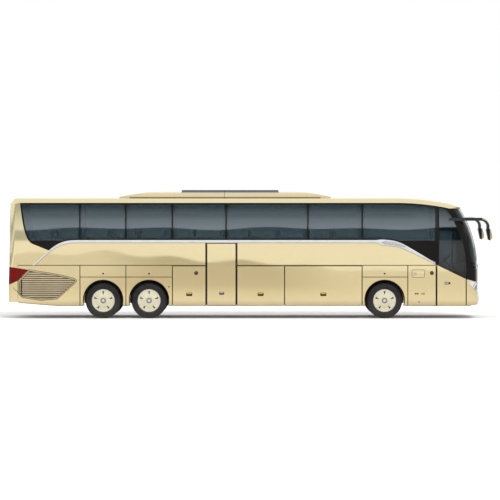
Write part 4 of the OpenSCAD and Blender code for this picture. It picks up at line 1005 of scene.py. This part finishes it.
def glass_borders(side):
    top, bottom, post, lower, margin = GLASS_TOP - 0.038, BELT_Z + 0.030, 0.018, BELT_Z - 0.006, 0.006
    x_end = FRONT_DOOR[0] - margin
    brow = [(x_end - BROW_X) * i / 8 for i in range(9)]
    outer = (offset_path(TAIL_CURVE, margin) + offset_path(TAIL_SWEEP, margin)
             + offset_path(FRONT_SWEEP, margin)[:-1] + [(x_end, 1.66)]
             + [(x_end - back, roof_line(x_end - back, margin)) for back in brow])
    outer[0] = (outer[0][0], GLASS_TOP - margin)
    levels = [lower + (top - lower) * i / 10 for i in range(10, -1, -1)]
    rear = [(tail_edge(min(z, 3.39)) + 0.052, z) for z in levels]
    rear += from_rear((1.62, lower), (1.74, bottom - 0.02), (1.86, bottom))
    rear += [(WINDOW_X[0] - post, bottom), (WINDOW_X[0] - post, top)]
    jamb = x_end - 0.022
    front = [(WINDOW_X[5] + post, bottom)]
    front += from_front((2.70, bottom), (2.58, bottom - 0.008), (2.46, lower)) + [(jamb, lower)]
    front += [(jamb - back, roof_line(jamb - back, 0.038)) for back in brow] + [(WINDOW_X[5] + post, top)]
    panes = [rectangle(a + post, b - post, bottom, top, 0.02, 3) for a, b in zip(WINDOW_X, WINDOW_X[1:])]
    on_side(SIDES[side] + "_glass_borders", [outer, rear, front] + panes, side, PANE_Y, PANE_Y + 0.0042,
            0.0006, black_gloss)


# ---------- bright strip below the windows ----------
def bright_strip(side):
    s = SIDES[side]
    upper = from_rear((0.713, 1.562), (0.96, 1.790), (1.195, 2.004), (1.37, 2.130), (1.54, 2.222), (1.72, 2.280),
                      (1.96, BELT_Z + 0.001))
    upper += from_front((3.10, BELT_Z + 0.002), (3.00, 2.322), (2.90, 2.322), (2.72, 2.307), (2.56, 2.281),
                        (2.40, 2.229), (2.24, 2.150), (2.08, 2.058), (1.70, 1.834), (1.377, 1.632))
    lower = from_front((1.377, 1.596), (1.70, 1.765), (2.08, 1.948), (2.21, 2.000), (2.35, 2.066), (2.53, 2.115),
                       (2.76, 2.140), (2.915, 2.144), (3.02, 2.190), (3.12, 2.226))
    lower += from_rear((2.02, 2.226), (1.80, 2.216), (1.60, 2.168), (1.40, 2.080), (1.22, 1.962), (0.98, 1.752),
                       (0.772, 1.562))
    on_side(s + "_bright_strip", upper + lower, side, PANE_Y + 0.0035, PANE_Y + 0.0170, 0.006, chrome, 3,
            angle=50)
    # A dark seal line along the strip's lower edge, which also stands in for the shadow under the strip: partly
    # painted shadow.
    on_side(s + "_strip_seal", ribbon([(x, z - 0.002) for x, z in lower], 0.010), side, PANE_Y + 0.0045,
            PANE_Y + 0.0090, 0.002, rubber_seal)
    blade = from_front((2.84, 2.288), (2.60, 2.262), (2.42, 2.208), (2.22, 2.112), (2.33, 2.092), (2.52, 2.140),
                       (2.74, 2.166), (2.88, 2.180), (2.97, 2.250))
    on_side(s + "_strip_blade", blade, side, PANE_Y + 0.0165, PANE_Y + 0.0195, 0.0012, silver_trim, 2)


# ---------- panel joints, seals and small fittings on the sides ----------
def panel_joints(side):
    s, low_z, half = SIDES[side], SILL_Z + 0.004, 0.59
    lines = [rectangle(TAIL_X, FRONT_DOOR[0], *WAIST_JOINT)]
    if side == RIGHT:
        lines = [rectangle(TAIL_X, MID_DOOR[0] - 0.030, *WAIST_JOINT),
                 rectangle(MID_DOOR[1] + 0.030, FRONT_DOOR[0] - 0.020, *WAIST_JOINT)]
    for x0, x1 in ((ENGINE_X, REAR_BAY_X), (FRONT_BAY_X, FUEL_X)):
        lines.append(rectangle(x0 + 0.010, x1 - 0.012, *ARCH_JOINT))
    for x in (ENGINE_X, FUEL_X):
        lines.append(rectangle(x - 0.013, x + 0.013, low_z, WAIST_JOINT[0]))
    mid_axles = (DRIVE_AXLE + TRAILING_AXLE) / 2 - 0.005
    lines.append(rectangle(mid_axles - 0.012, mid_axles + 0.012, low_z, WAIST_JOINT[0]))
    lines.append(rectangle(REAR_BAY_X - 0.014, REAR_BAY_X - 0.005, low_z, WAIST_JOINT[0]))
    lines.append(rectangle(FRONT_BAY_X + 0.005, FRONT_BAY_X + 0.014, low_z, WAIST_JOINT[0]))
    for x0, x1 in ((ENGINE_X, TRAILING_AXLE - half), (TRAILING_AXLE + half, DRIVE_AXLE - half),
                   (DRIVE_AXLE + half, REAR_BAY_X - 0.005), (FRONT_BAY_X + 0.005, FRONT_AXLE - half),
                   (FRONT_AXLE + half, FRONT_DOOR[0] - 0.021), (FRONT_DOOR[1] + 0.018, FRONT_X - 0.32)):
        lines.append(rectangle(x0, x1, SILL_Z + 0.001, SILL_Z + 0.014))
    joined(s + "_panel_seams", [side_piece("seam", line, side, joint_seal, 0.0012) for line in lines])
    rise = SILL_Z + (1.44 - 0.30) / 1.44 * 0.115
    sill = from_rear((0.30, rise + 0.003), (1.44, SILL_Z + 0.003)) + [(ENGINE_X, SILL_Z + 0.003)]
    side_piece(s + "_tail_edge", ribbon(sill, 0.012), side, rubber_seal)


def flap_seals(side):
    for part in ("rear", "middle", "front"):
        flap = f"{SIDES[side]}_{part}_flap"
        body = flap + "_panel"
        a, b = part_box(flap)
        inset = 0.0005
        side_piece(flap + "_seal", ring(a.x + inset, b.x - inset, a.z + inset, b.z - inset, 0.011), side, joint_seal,
                   0.0012, body)
        x, z = (a.x + b.x) / 2, 0.710
        side_piece(flap + "_handle_cup", rectangle(x - 0.085, x + 0.085, z - 0.045, z + 0.045, 0.018), side,
                   black_plastic, 0.0020, body, edge=0.0010)
        on_side(flap + "_handle_rim", ring(x - 0.089, x + 0.089, z - 0.049, z + 0.049, 0.007, 0.022), side,
                WALL_Y - 0.0005, WALL_Y + 0.0032, 0.001, black_gloss, 2, body)
        # The grip over the cup; its yellow colour is a painted highlight.
        finish(bar(flap + "_handle", (x - 0.070, side * (WALL_Y + 0.001), z + 0.012),
                   (x + 0.070, side * (WALL_Y + 0.0042), z + 0.032), 0.0014, 3), handle_yellow, body)


def wheel_arch_lips(side):
    dip = math.degrees(math.asin((ARCH_Z - SILL_Z - 0.004) / 0.59))
    profile = [(0.574, 1.200), *out_from(WALL_Y, (0.574, 0.001), (0.578, 0.004), (0.592, 0.004), (0.596, 0.001),
                                         (0.596, -0.002), (0.5845, -0.002)), (0.5845, 1.200), (0.574, 1.200)]
    for axle, x in AXLES.items():
        finish(turned(f"{SIDES[side]}_{axle}_arch_lip", profile, (x, ARCH_Z), side, 60, 180 + 2 * dip, -dip),
               rubber_seal)


def arch_liners(side):
    """Dark splash panels inboard of the wheels, which close the arches from behind."""
    turns = [math.radians(a) for a in range(-12, 193, 6)]
    for axle, x in AXLES.items():
        edge = [(x + ARCH_R * math.cos(t), ARCH_Z + ARCH_R * math.sin(t)) for t in turns]
        on_side(f"{SIDES[side]}_{axle}_arch_liner", edge, side, 0.498, 0.504, 0.001, black_plastic)


def side_fittings(side):
    s, key_z, marker_z = SIDES[side], 1.322, 1.337
    locks = []
    for x in AXLES.values():
        locks += [(circle(x, 1.319, 0.021), 0.003), ([circle(x, 1.319, 0.027), circle(x, 1.319, 0.022)], 0.0012)]
    locks += [(circle(x, z, 0.020), 0.003) for x, z in ((FUEL_X + 0.332, 0.485), (REAR_BAY_X - 0.102, 0.930))]
    locks += [(rectangle(x, x + 0.046, 0.706, 0.748, 0.008), 0.003) for x in (FUEL_X + 0.208, FUEL_X + 0.268)]
    locks += [(ring(x, x + 0.050, 0.704, 0.750, 0.010, 0.02), 0.002) for x in (FUEL_X + 0.40, FUEL_X + 0.455)]
    joined(s + "_locks", [side_piece("lock", outlines, side, black_plastic, out) for outlines, out in locks])
    f0, f1 = FUEL_X + 0.116, FUEL_X + 0.500
    side_piece(s + "_filler_flap_seam", ring(f0, f1, 1.204, 1.440, 0.010, 0.035), side, joint_seal, 0.0012)
    side_piece(s + "_filler_flap_skin", rectangle(f0 + 0.010, f1 - 0.010, 1.214, 1.430, 0.026), side, paint, 0.0028,
               edge=0.0015)
    key_x = f0 + 0.075
    side_piece(s + "_filler_lock", [circle(key_x, key_z, 0.034), circle(key_x, key_z, 0.025)], side, silver_trim,
               0.0045, depth=0.0, edge=0.001)
    side_piece(s + "_filler_key", circle(key_x, key_z, 0.018), side, silver_trim, 0.0042,
               depth=0.0)
    for label, x, body in (("front", FUEL_X + 0.707, "coach"),
                           ("rear", REAR_BAY_X + 0.700, s + "_rear_flap_panel")):
        for part, look, slot, profile in (
                ("side_marker", marker_red, "red_lens",
                 ((0.0, 0.010), (0.030, 0.009), (0.044, 0.006), (0.050, 0.001), (0.050, -0.001), (0.0, -0.001))),
                ("marker_rim", black_plastic, "dark_trim",
                 ((0.050, 0.003), (0.055, 0.0035), (0.059, 0.001), (0.059, -0.001), (0.050, -0.001),
                  (0.050, 0.003)))):
            shape = turned(f"{s}_{label}_{part}", out_from(WALL_Y, *profile), (x, marker_z), side, 32)
            finish(shape, look, body)


on_both(glass_borders, bright_strip, panel_joints, flap_seals, wheel_arch_lips, arch_liners, side_fittings)


# ---------- doors ----------
def door_handle(name, cup, x0, x1, z0, z1, out, round_width, body):
    """A dark cup in a door's skin and the silver grip over it."""
    side_piece(name + "_cup", cup, RIGHT, black_plastic, 0.0022, body)
    grip = bar(name, (x0, -(WALL_Y + 0.001), z0), (x1, -(WALL_Y + out), z1), round_width, 3)
    finish(grip, silver_trim, body)


def middle_door_trim():
    x0, x1 = MID_DOOR
    leaf, foot = "middle_door_leaf", SILL_Z + 0.002
    side_piece("mid_door_seal", ring(x0 + 0.0005, x1 - 0.0005, SILL_Z + 0.001, MID_DOOR_TOP - 0.0005, 0.018),
               RIGHT, rubber_seal, body=leaf)
    gap, wide = 0.016, 0.024
    head = MID_DOOR_TOP + gap
    outer = [(x0 - gap - wide, foot), (x0 - gap - 0.001, foot), (x0 - gap - 0.001, head), (x1 + gap + 0.001, head),
             (x1 + gap + 0.001, foot), (x1 + gap + wide, foot), (x1 + gap + wide, head + 0.020),
             (x0 - gap - wide, head + 0.020)]
    side_piece("mid_door_frame_trim", outer, RIGHT, rubber_seal)
    hx = x0 + 0.440
    door_handle("mid_door_handle", rectangle(hx - 0.075, hx + 0.075, 0.700, 0.780, 0.02), hx - 0.06, hx + 0.06,
                0.745, 0.770, 0.0045, 0.0014, leaf)


def front_door_trim():
    x0 = FRONT_DOOR[0]
    a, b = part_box("front_door")
    leaf, foot = "front_door_leaf", SILL_Z + 0.002
    inset, wide, post = 0.0005, 0.0145, (x0 - 0.022, x0 + 0.081)
    for end, x, top in (("rear", a.x + inset, 1.590), ("front", b.x - wide, 1.160)):
        side_piece(f"front_door_{end}_seal", rectangle(x, x + wide - inset, foot, top), RIGHT, rubber_seal, body=leaf)
    side_piece("front_door_post_trim", rectangle(x0 - 0.020, x0 - 0.001, foot, 1.594), RIGHT, rubber_seal)
    side_piece("front_door_nose_seal", rectangle(b.x + 0.001, b.x + 0.014, foot, 1.150), RIGHT, rubber_seal)
    side_piece("front_door_pillar_face", rectangle(*post, 1.600, b.z - 0.004), RIGHT, black_gloss, 0.0026, leaf,
               depth=0.0)
    on_side("front_post_face", rectangle(*post, b.z + 0.006, roof_line(post[1], 0.006)), RIGHT, PANE_Y,
            PANE_Y + 0.0045, 0.0006, black_gloss)
    hx, hz = x0 + 0.330, 1.038
    door_handle("front_door_handle", rectangle(hx - 0.085, hx + 0.030, hz - 0.036, hz + 0.036, 0.016), hx - 0.075,
                hx + 0.024, hz - 0.017, hz + 0.020, 0.0048, 0.0016, leaf)
    side_piece("front_door_lock", circle(hx + 0.056, hz, 0.030), RIGHT, black_gloss, 0.0045, leaf, edge=0.0015)


middle_door_trim()
front_door_trim()


# ---------- engine bay grilles at the tail ----------
def grille_outline(i):
    """The grille's outline, drawn in by about i."""
    e, r = ENGINE_X, REAR_X
    return [(r + 0.612 + 0.3 * i, 1.440 - 1.1 * i), (e - 0.604, 1.295 - i), (e - 0.190 - i, 1.192 - i),
            (e - 0.086 - 1.1 * i, 1.130), (e - 0.127 - i, 1.047 + 0.2 * i), (e - 0.669 - 0.3 * i, 0.568 + i),
            (r + 0.964, 0.526 + i), (r + 0.405, 0.609 + i), (TAIL_X + 0.006 + i, 0.724 + 0.3 * i),
            (TAIL_X + 0.006 + i, 1.100 - 0.3 * i)]


def tail_grille(side):
    s = SIDES[side]
    on_side(s + "_grille_frame", [grille_outline(0.010), grille_outline(0.040)], side, PANE_Y - 0.010,
            WALL_Y + 0.0045, 0.004, grille_metal, 3)
    for label, inset in (("outer", -0.003), ("inner", 0.040)):
        on_side(f"{s}_grille_{label}_seam", [grille_outline(inset), grille_outline(inset + 0.012)], side,
                PANE_Y - 0.006, WALL_Y + 0.0016, 0.0006, joint_seal)
    field = grille_outline(0.034)
    slats = []
    z = 0.585
    while z < 1.42:
        cut = [crossings(field, z - 0.020), crossings(field, z + 0.020)]
        if len(cut[0]) >= 2 and len(cut[1]) >= 2:
            x0, x1 = min(cut[0][0], cut[1][0]), max(cut[0][-1], cut[1][-1])
            if x1 - x0 > 0.10:
                slats.append(bar("slat", (x0, side * (PANE_Y - 0.0050), z - 0.021),
                                 (x1, side * (PANE_Y + 0.0042), z + 0.021), 0.0035))
        z += 0.062
    finish(joined(s + "_grille_slats", slats), grille_metal)
    finish(bar(s + "_grille_post", (REAR_X + 0.368, side * (PANE_Y - 0.0060), 0.650),
               (REAR_X + 0.408, side * (PANE_Y + 0.0062), 1.245), 0.004), black_plastic)


on_both(tail_grille)


# ---------- nose: lamps, intake, wipers, brow line ----------
def leaning_oval(x, z, rx, rz, degrees, n=28):
    turn = math.radians(degrees)
    oval = []
    for i in range(n):
        u, w = rx * math.cos(i * math.pi / 14), rz * math.sin(i * math.pi / 14)
        oval.append((x + u * math.cos(turn) + w * math.sin(turn), z - u * math.sin(turn) + w * math.cos(turn)))
    return oval


def nose_lamps(side):
    s = SIDES[side]
    for label, y, z, r in (("main", 0.800, 0.905, 0.085), ("dip", 0.985, 0.930, 0.080)):
        y *= side
        for what, outlines, lift, depth, look in (
                ("ring", [circle(y, z, r), circle(y, z, r - 0.014)], 0.0030, 0.005, chrome),
                ("bowl", circle(y, z, r - 0.015), 0.0014, 0.002, hub_metal),
                ("bulb", circle(y, z, 0.030), 0.0050, 0.004, lamp_glass)):
            finish(laid_on(f"{s}_{label}_lamp_{what}", outlines, "headlamps", lift, depth, cuts=12, rows=12), look)
    for what, rx, rz, look, lift in (("shade", 0.098, 0.158, black_plastic, 0.0012),
                                     ("lens", 0.086, 0.142, clear_lens, 0.0026),
                                     ("bowl", 0.046, 0.085, hub_metal, 0.0040)):
        finish(laid_on(f"{s}_side_lamp_{what}", leaning_oval(6.660, 0.915, rx, rz, 28), "headlamps", lift, 0.002,
                       SIDEWAYS[side], 16, 20), look)
    y, z = side * 0.90, 0.570
    finish(laid_on(s + "_fog_lamp_frame", [circle(y, z, 0.062), circle(y, z, 0.050)], "front_bumper", 0.001, 0.005,
                   cuts=8), black_plastic)
    finish(laid_on(s + "_fog_lamp", circle(y, z, 0.049), "front_bumper", 0.0008, 0.003, cuts=8), clear_lens)


def nose_intake():
    finish(laid_on("nose_intake", rectangle(-0.62, 0.62, 0.500, 0.640, 0.05), "front_bumper", 0.0010, 0.002,
                   cuts=20), black_plastic)
    bars = [laid_on("bar", rectangle(-0.60, 0.60, z - 0.008, z + 0.008), "front_bumper", 0.0028, 0.006, cuts=20)
            for z in (0.528, 0.556, 0.584, 0.612)]
    finish(joined("nose_intake_bars", bars), grille_metal)
    finish(laid_on("front_plate", rectangle(-0.26, 0.26, 0.515, 0.625, 0.008), "front_bumper", 0.0062, 0.004,
                   cuts=10), blank_white)


def wiper(side):
    s, order = SIDES[side], side * -1
    blade = laid_on(s + "_wiper_blade", ribbon([(side * y, z) for y, z in
                                                ((0.22, 1.520), (0.60, 1.545), (0.98, 1.600))][::order], 0.022),
                    "windscreen", 0.0025, 0.010, cuts=16)
    arm = laid_on(s + "_wiper_arm", ribbon([(side * y, z) for y, z in
                                            ((0.16, 1.440), (0.42, 1.500), (0.60, 1.552))][::order],
                                           [0.018, 0.026, 0.040][::order]), "windscreen", 0.0130, 0.008, cuts=12)
    finish(joined(s + "_wiper", [blade, arm]), black_plastic)


def brow_strip(side):
    """A bright strip that runs from the side, under the dark mask, on to the nose."""
    path = [(x, 1.140 - (x - 6.357) * 0.2768) for x in (6.385, 6.46, 6.54, 6.62, 6.70, 6.77)]
    finish(laid_on(SIDES[side] + "_brow_strip", ribbon(path, [0.014, 0.024, 0.030, 0.030, 0.026, 0.014]),
                   "front_bumper", 0.0012, 0.003, SIDEWAYS[side], 20), chrome)


on_both(nose_lamps, wiper, brow_strip)
nose_intake()


# ---------- tail: window border, lid louvres, lamps, plate ----------
def leaned(obj):
    return moved(obj, about_y(LEAN_DEGREES, (REAR_X, BUMPER_Z)))


LID_X = REAR_X + 0.015
LID = "engine_lid_panel"


def tail_piece(name, outlines, x0, x1, edge, look, steps=1, body="coach", lean=True):
    """A flat piece that faces the rear, between two places along the coach."""
    obj = plate(name, outlines, x0, x1, edge, steps, "YZ")
    finish(leaned(obj) if lean else obj, look, body)


def tail_trim():
    tail_piece("rear_glass_border", ring(-1.004, 1.004, 2.336, 3.284, 0.045, 0.05), REAR_X + 0.0005, REAR_X + 0.006,
               0.0008, black_gloss)
    tail_piece("rear_glass_seal", ring(-1.018, 1.018, 2.322, 3.298, 0.012, 0.06), REAR_X - 0.0008, REAR_X + 0.004,
               0.0008, rubber_seal)
    tail_piece("high_brake_lamp", rectangle(-0.24, 0.24, 3.325, 3.352, 0.010), REAR_X - 0.0010, REAR_X + 0.004,
               0.0015, red_lens, 2)
    tail_piece("lid_louvre_field", rectangle(-0.66, 0.66, 1.130, 1.600, 0.05), LID_X - 0.0015, LID_X + 0.003, 0.001,
               black_plastic, body=LID)
    slats = []
    for i in range(9):
        z = 1.165 + 0.050 * i
        slats.append(leaned(bar("slat", (LID_X - 0.0080, -0.635, z), (LID_X - 0.0005, 0.635, z + 0.026), 0.003,
                                slope=(0.5, 0.995))))
    finish(joined("lid_louvres", slats), grille_metal, LID)
    tail_piece("lid_handle_cup", rectangle(-0.11, 0.11, 0.915, 0.975, 0.02), LID_X - 0.0018, LID_X + 0.002, 0.001,
               black_plastic, body=LID, lean=False)
    finish(bar("lid_handle", (LID_X - 0.009, -0.09, 0.940), (LID_X - 0.001, 0.09, 0.962), 0.003, 3), silver_trim, LID)
    tail_piece("rear_plate", rectangle(-0.26, 0.26, 0.745, 0.855, 0.010), LID_X - 0.0085, LID_X + 0.001, 0.001,
               blank_white, 2, LID, False)
    tail_piece("rear_plate_frame", ring(-0.272, 0.272, 0.733, 0.867, 0.014, 0.014), LID_X - 0.0100, LID_X + 0.001,
               0.0015, black_plastic, 2, LID, lean=False)
    tail_piece("lid_seal", ring(-0.879, 0.879, 0.9865, 1.883, 0.010), LID_X - 0.0012, LID_X + 0.002, 0.0008,
               joint_seal, body=LID)


def tail_lamp_details(side):
    """The joint across the lamp, and round lenses with bright rims."""
    s, y = SIDES[side], side * 1.00
    on_side(s + "_tail_lamp_joint", rectangle(TAIL_X - 0.005, TAIL_X + 0.004, 1.118, 1.478), side, PANE_Y + 0.0045,
            PANE_Y + 0.0062, 0.0006, joint_seal)
    for label, z, look in (("stop", 1.370, red_lens), ("turn", 1.230, marker_amber),
                           ("reverse", 1.095, clear_lens)):
        finish(laid_on(f"{s}_{label}_lens", circle(y, z, 0.050), "tail_lamps", 0.0010, 0.004, "-X", 8), look)
        finish(laid_on(f"{s}_{label}_rim", [circle(y, z, 0.058), circle(y, z, 0.051)], "tail_lamps", 0.0010, 0.006,
                       "-X", 8), silver_trim)


def bumper_groove(side):
    path = from_rear((0.150, 0.905), (0.200, 0.850), (0.275, 0.780))
    side_piece(SIDES[side] + "_bumper_groove", ribbon(path, 0.014), side, joint_seal, 0.0012)


def exhaust():
    path = [(REAR_X + x, y, z) for x, y, z in ((1.30, 0.62, 0.560), (0.90, 0.66, 0.520), (0.45, 0.70, 0.470),
                                               (0.12, 0.72, 0.455))]
    finish(tube("exhaust_pipe", path, 0.052, 6, 10), cast_iron)


# ---------- mirrors and roof unit ----------
def mirror_faces(side):
    y, half = side * 1.330, 0.088
    for label, z0, z1 in (("main", 2.400, 2.618), ("wide", 2.304, 2.388)):
        finish(laid_on(f"{SIDES[side]}_{label}_mirror_glass", rectangle(y - half, y + half, z0, z1, 0.022), "mirrors",
                       0.0006, 0.003, "-X", 8), mirror_silver)


def roof_unit_foot(side):
    a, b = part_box("roof_air_conditioner")
    on_side(SIDES[side] + "_roof_unit_foot", rectangle(a.x + 0.30, b.x - 0.30, ROOF_Z - 0.034, ROOF_Z - 0.006), side,
            b.y - 0.010, b.y - 0.0005, 0.001, joint_seal)


def roof_unit_joint():
    band = slice_of("roof_unit_joint", "roof_air_conditioner", -0.757, -0.747, 0.0015)
    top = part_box("roof_air_conditioner")[1].z
    for v in band.data.vertices:
        v.co.z = min(v.co.z, top)
    finish(band, rubber_seal)


tail_trim()
exhaust()
roof_unit_joint()
on_both(tail_lamp_details, bumper_groove, mirror_faces, roof_unit_foot)


# ---------- cabin: seats, racks ----------
def stations(seams):
    """Where a pad's rows of points stand, from -1 to 1, closer together at its ends and seams."""
    base = [-1, -0.94, -0.80, -0.50, -0.18, 0.18, 0.50, 0.80, 0.94, 1]
    base = [v for v in base if all(abs(v - g) > 0.08 for g in seams)]
    return sorted(base + [g + d for g in seams for d in (-0.06, 0.0, 0.06)])


def pad(name, length, width, thick, seams_u, seams_v, crown=0.014, groove=0.007):
    """A stuffed pad lying flat at the origin: crowned, drawn in between its corners, with sewn channels."""
    us, vs = stations(seams_u), stations(seams_v)
    OPS.object.select_all(action="DESELECT")
    OPS.mesh.primitive_grid_add(x_subdivisions=len(us) - 1, y_subdivisions=len(vs) - 1, size=2, location=(0, 0, 0))
    obj = bpy.context.object
    obj.name = name
    for v in obj.data.vertices:
        v.co.x = us[round((v.co.x + 1) / 2 * (len(us) - 1))]
        v.co.y = vs[round((v.co.y + 1) / 2 * (len(vs) - 1))]
    add_modifier(obj, "SOLIDIFY", thickness=1.0, offset=0)
    pinch, seam_width = 0.025, 0.035
    for v in obj.data.vertices:
        u, w, up = v.co.x, v.co.y, 1 if v.co.z > 0 else -1
        edge = max(0.0, (1 - u ** 8) * (1 - w ** 8))
        height = thick / 2 * (0.58 + 0.42 * math.sqrt(edge)) + crown * (1 - u * u) * (1 - w * w)
        for distance in [u - g for g in seams_u] + [w - g for g in seams_v]:
            height -= groove * math.exp(-(distance / seam_width) ** 2) * (up > 0)
        v.co = (u * length / 2 * (1 - pinch * (1 - w * w) * abs(u)),
                w * width / 2 * (1 - pinch * (1 - u * u) * abs(w)), up * height)
    return rounded(obj, 0.012, 2, 50)


def seat(name, pads, places, lean):
    """One seat's pads from three flat pads: cushion level, back and headrest leaning back."""
    parts = []
    for source, place, tilt in zip(pads, places, (0, lean, lean)):
        turn = Matrix.Translation(place) @ Matrix.Rotation(math.radians(tilt), 4, "Y")
        parts.append(copy_of(source, "pad", turn))
    return joined(name, parts)


def finish_pads(obj, look, node_name):
    finish(obj, look, angle=60)
    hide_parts(node_name)


def passenger_seats():
    pads = (pad("cushion_pad", 0.462, 0.452, 0.108, (-0.55, 0.45), (-0.66, 0.66)),
            pad("back_pad", 0.560, 0.450, 0.096, (-0.35, 0.10, 0.55), (-0.64, 0.64), crown=0.010),
            pad("head_pad", 0.185, 0.300, 0.090, (), (-0.6, 0.6), crown=0.012, groove=0.005))
    rows = {RIGHT: [], LEFT: []}
    frames = {RIGHT: [], LEFT: []}
    pitch, door_room = 0.83, 0.076
    for i in range(13):
        x = REAR_X + 0.62 + pitch * i
        for side in (RIGHT, LEFT):
            if side == RIGHT and x + 0.38 > MID_DOOR[0] - door_room and x - 0.26 < MID_DOOR[1] + door_room:
                continue
            metal = frames[side]
            for y in (side * 0.455, side * 0.935):
                rows[side].append(seat("pads", pads, ((x + 0.125, y, 1.829), (x - 0.092, y, 2.130),
                                                      (x - 0.162, y, 2.490)), -80.2))
                shell = bar("shell", (x - 0.062, y - 0.205, 1.880), (x - 0.046, y + 0.205, 2.520), 0.006)
                metal.append(moved(shell, about_y(-9.8, (x - 0.054, 1.84)) @ Matrix.Translation((-0.052, 0, 0))))
            for y in (side * 0.235, side * 0.680, side * 1.125):
                metal.append(bar("arm", (x - 0.02, y - 0.018, 2.010), (x + 0.250, y + 0.018, 2.045), 0.010))
            metal.append(bar("rail", (x - 0.050, side * 0.240, 1.715), (x + 0.290, side * 1.150, 1.765), 0.012))
            for y in (side * 0.330, side * 1.060):
                metal.append(bar("leg", (x + 0.030, y - 0.022, 1.462), (x + 0.230, y + 0.022, 1.730), 0.012,
                                 slope=(0.75, 1)))
    for side in (RIGHT, LEFT):
        finish_pads(joined(SIDES[side] + "_seat_pads", rows[side]), seat_cloth, "passenger_seats")
        finish(joined(SIDES[side] + "_seat_frames", frames[side]), cabin_plastic)
    forget(*pads)


def driver_seat():
    x, y = FRONT_X - 1.52, 0.62
    pads = (pad("cushion_pad", 0.490, 0.490, 0.104, (-0.50, 0.40), (-0.62, 0.62), crown=0.012),
            pad("back_pad", 0.620, 0.470, 0.100, (-0.4, 0.1, 0.6), (-0.62, 0.62), crown=0.008),
            pad("head_pad", 0.170, 0.280, 0.090, (), (-0.6, 0.6), crown=0.010, groove=0.005))
    places = ((x + 0.008, y, 1.374), (x - 0.192, y, 1.700), (x - 0.232, y, 2.108))
    finish_pads(seat("driver_seat_pads", pads, places, -83.5), seat_side, "driver_seat")
    base = bar("base", (x - 0.195, 0.445, 0.982), (x + 0.175, 0.795, 1.060), 0.015)
    column = bar("column", (x - 0.120, 0.52, 1.055), (x + 0.110, 0.72, 1.290), 0.020, slope=(1.2, 1.2))
    tray = bar("tray", (x - 0.205, 0.40, 1.285), (x + 0.225, 0.84, 1.316), 0.010)
    finish(joined("driver_seat_base", [base, column, tray]), cabin_plastic)
    forget(*pads)


def luggage_rack(side):
    profile = [(0.800, 3.010), (0.830, 2.965), (1.180, 2.935), (1.196, 2.950), (1.196, 3.020), (1.120, 3.045),
               (0.870, 3.070), (0.815, 3.060)]
    rack = plate(SIDES[side] + "_luggage_rack", [(side * y, z) for y, z in profile], REAR_X + 0.30, FRONT_X - 1.95,
                 0.006, 2, "YZ")
    finish(rack, cabin_trim, angle=50)


passenger_seats()
driver_seat()
on_both(luggage_rack)
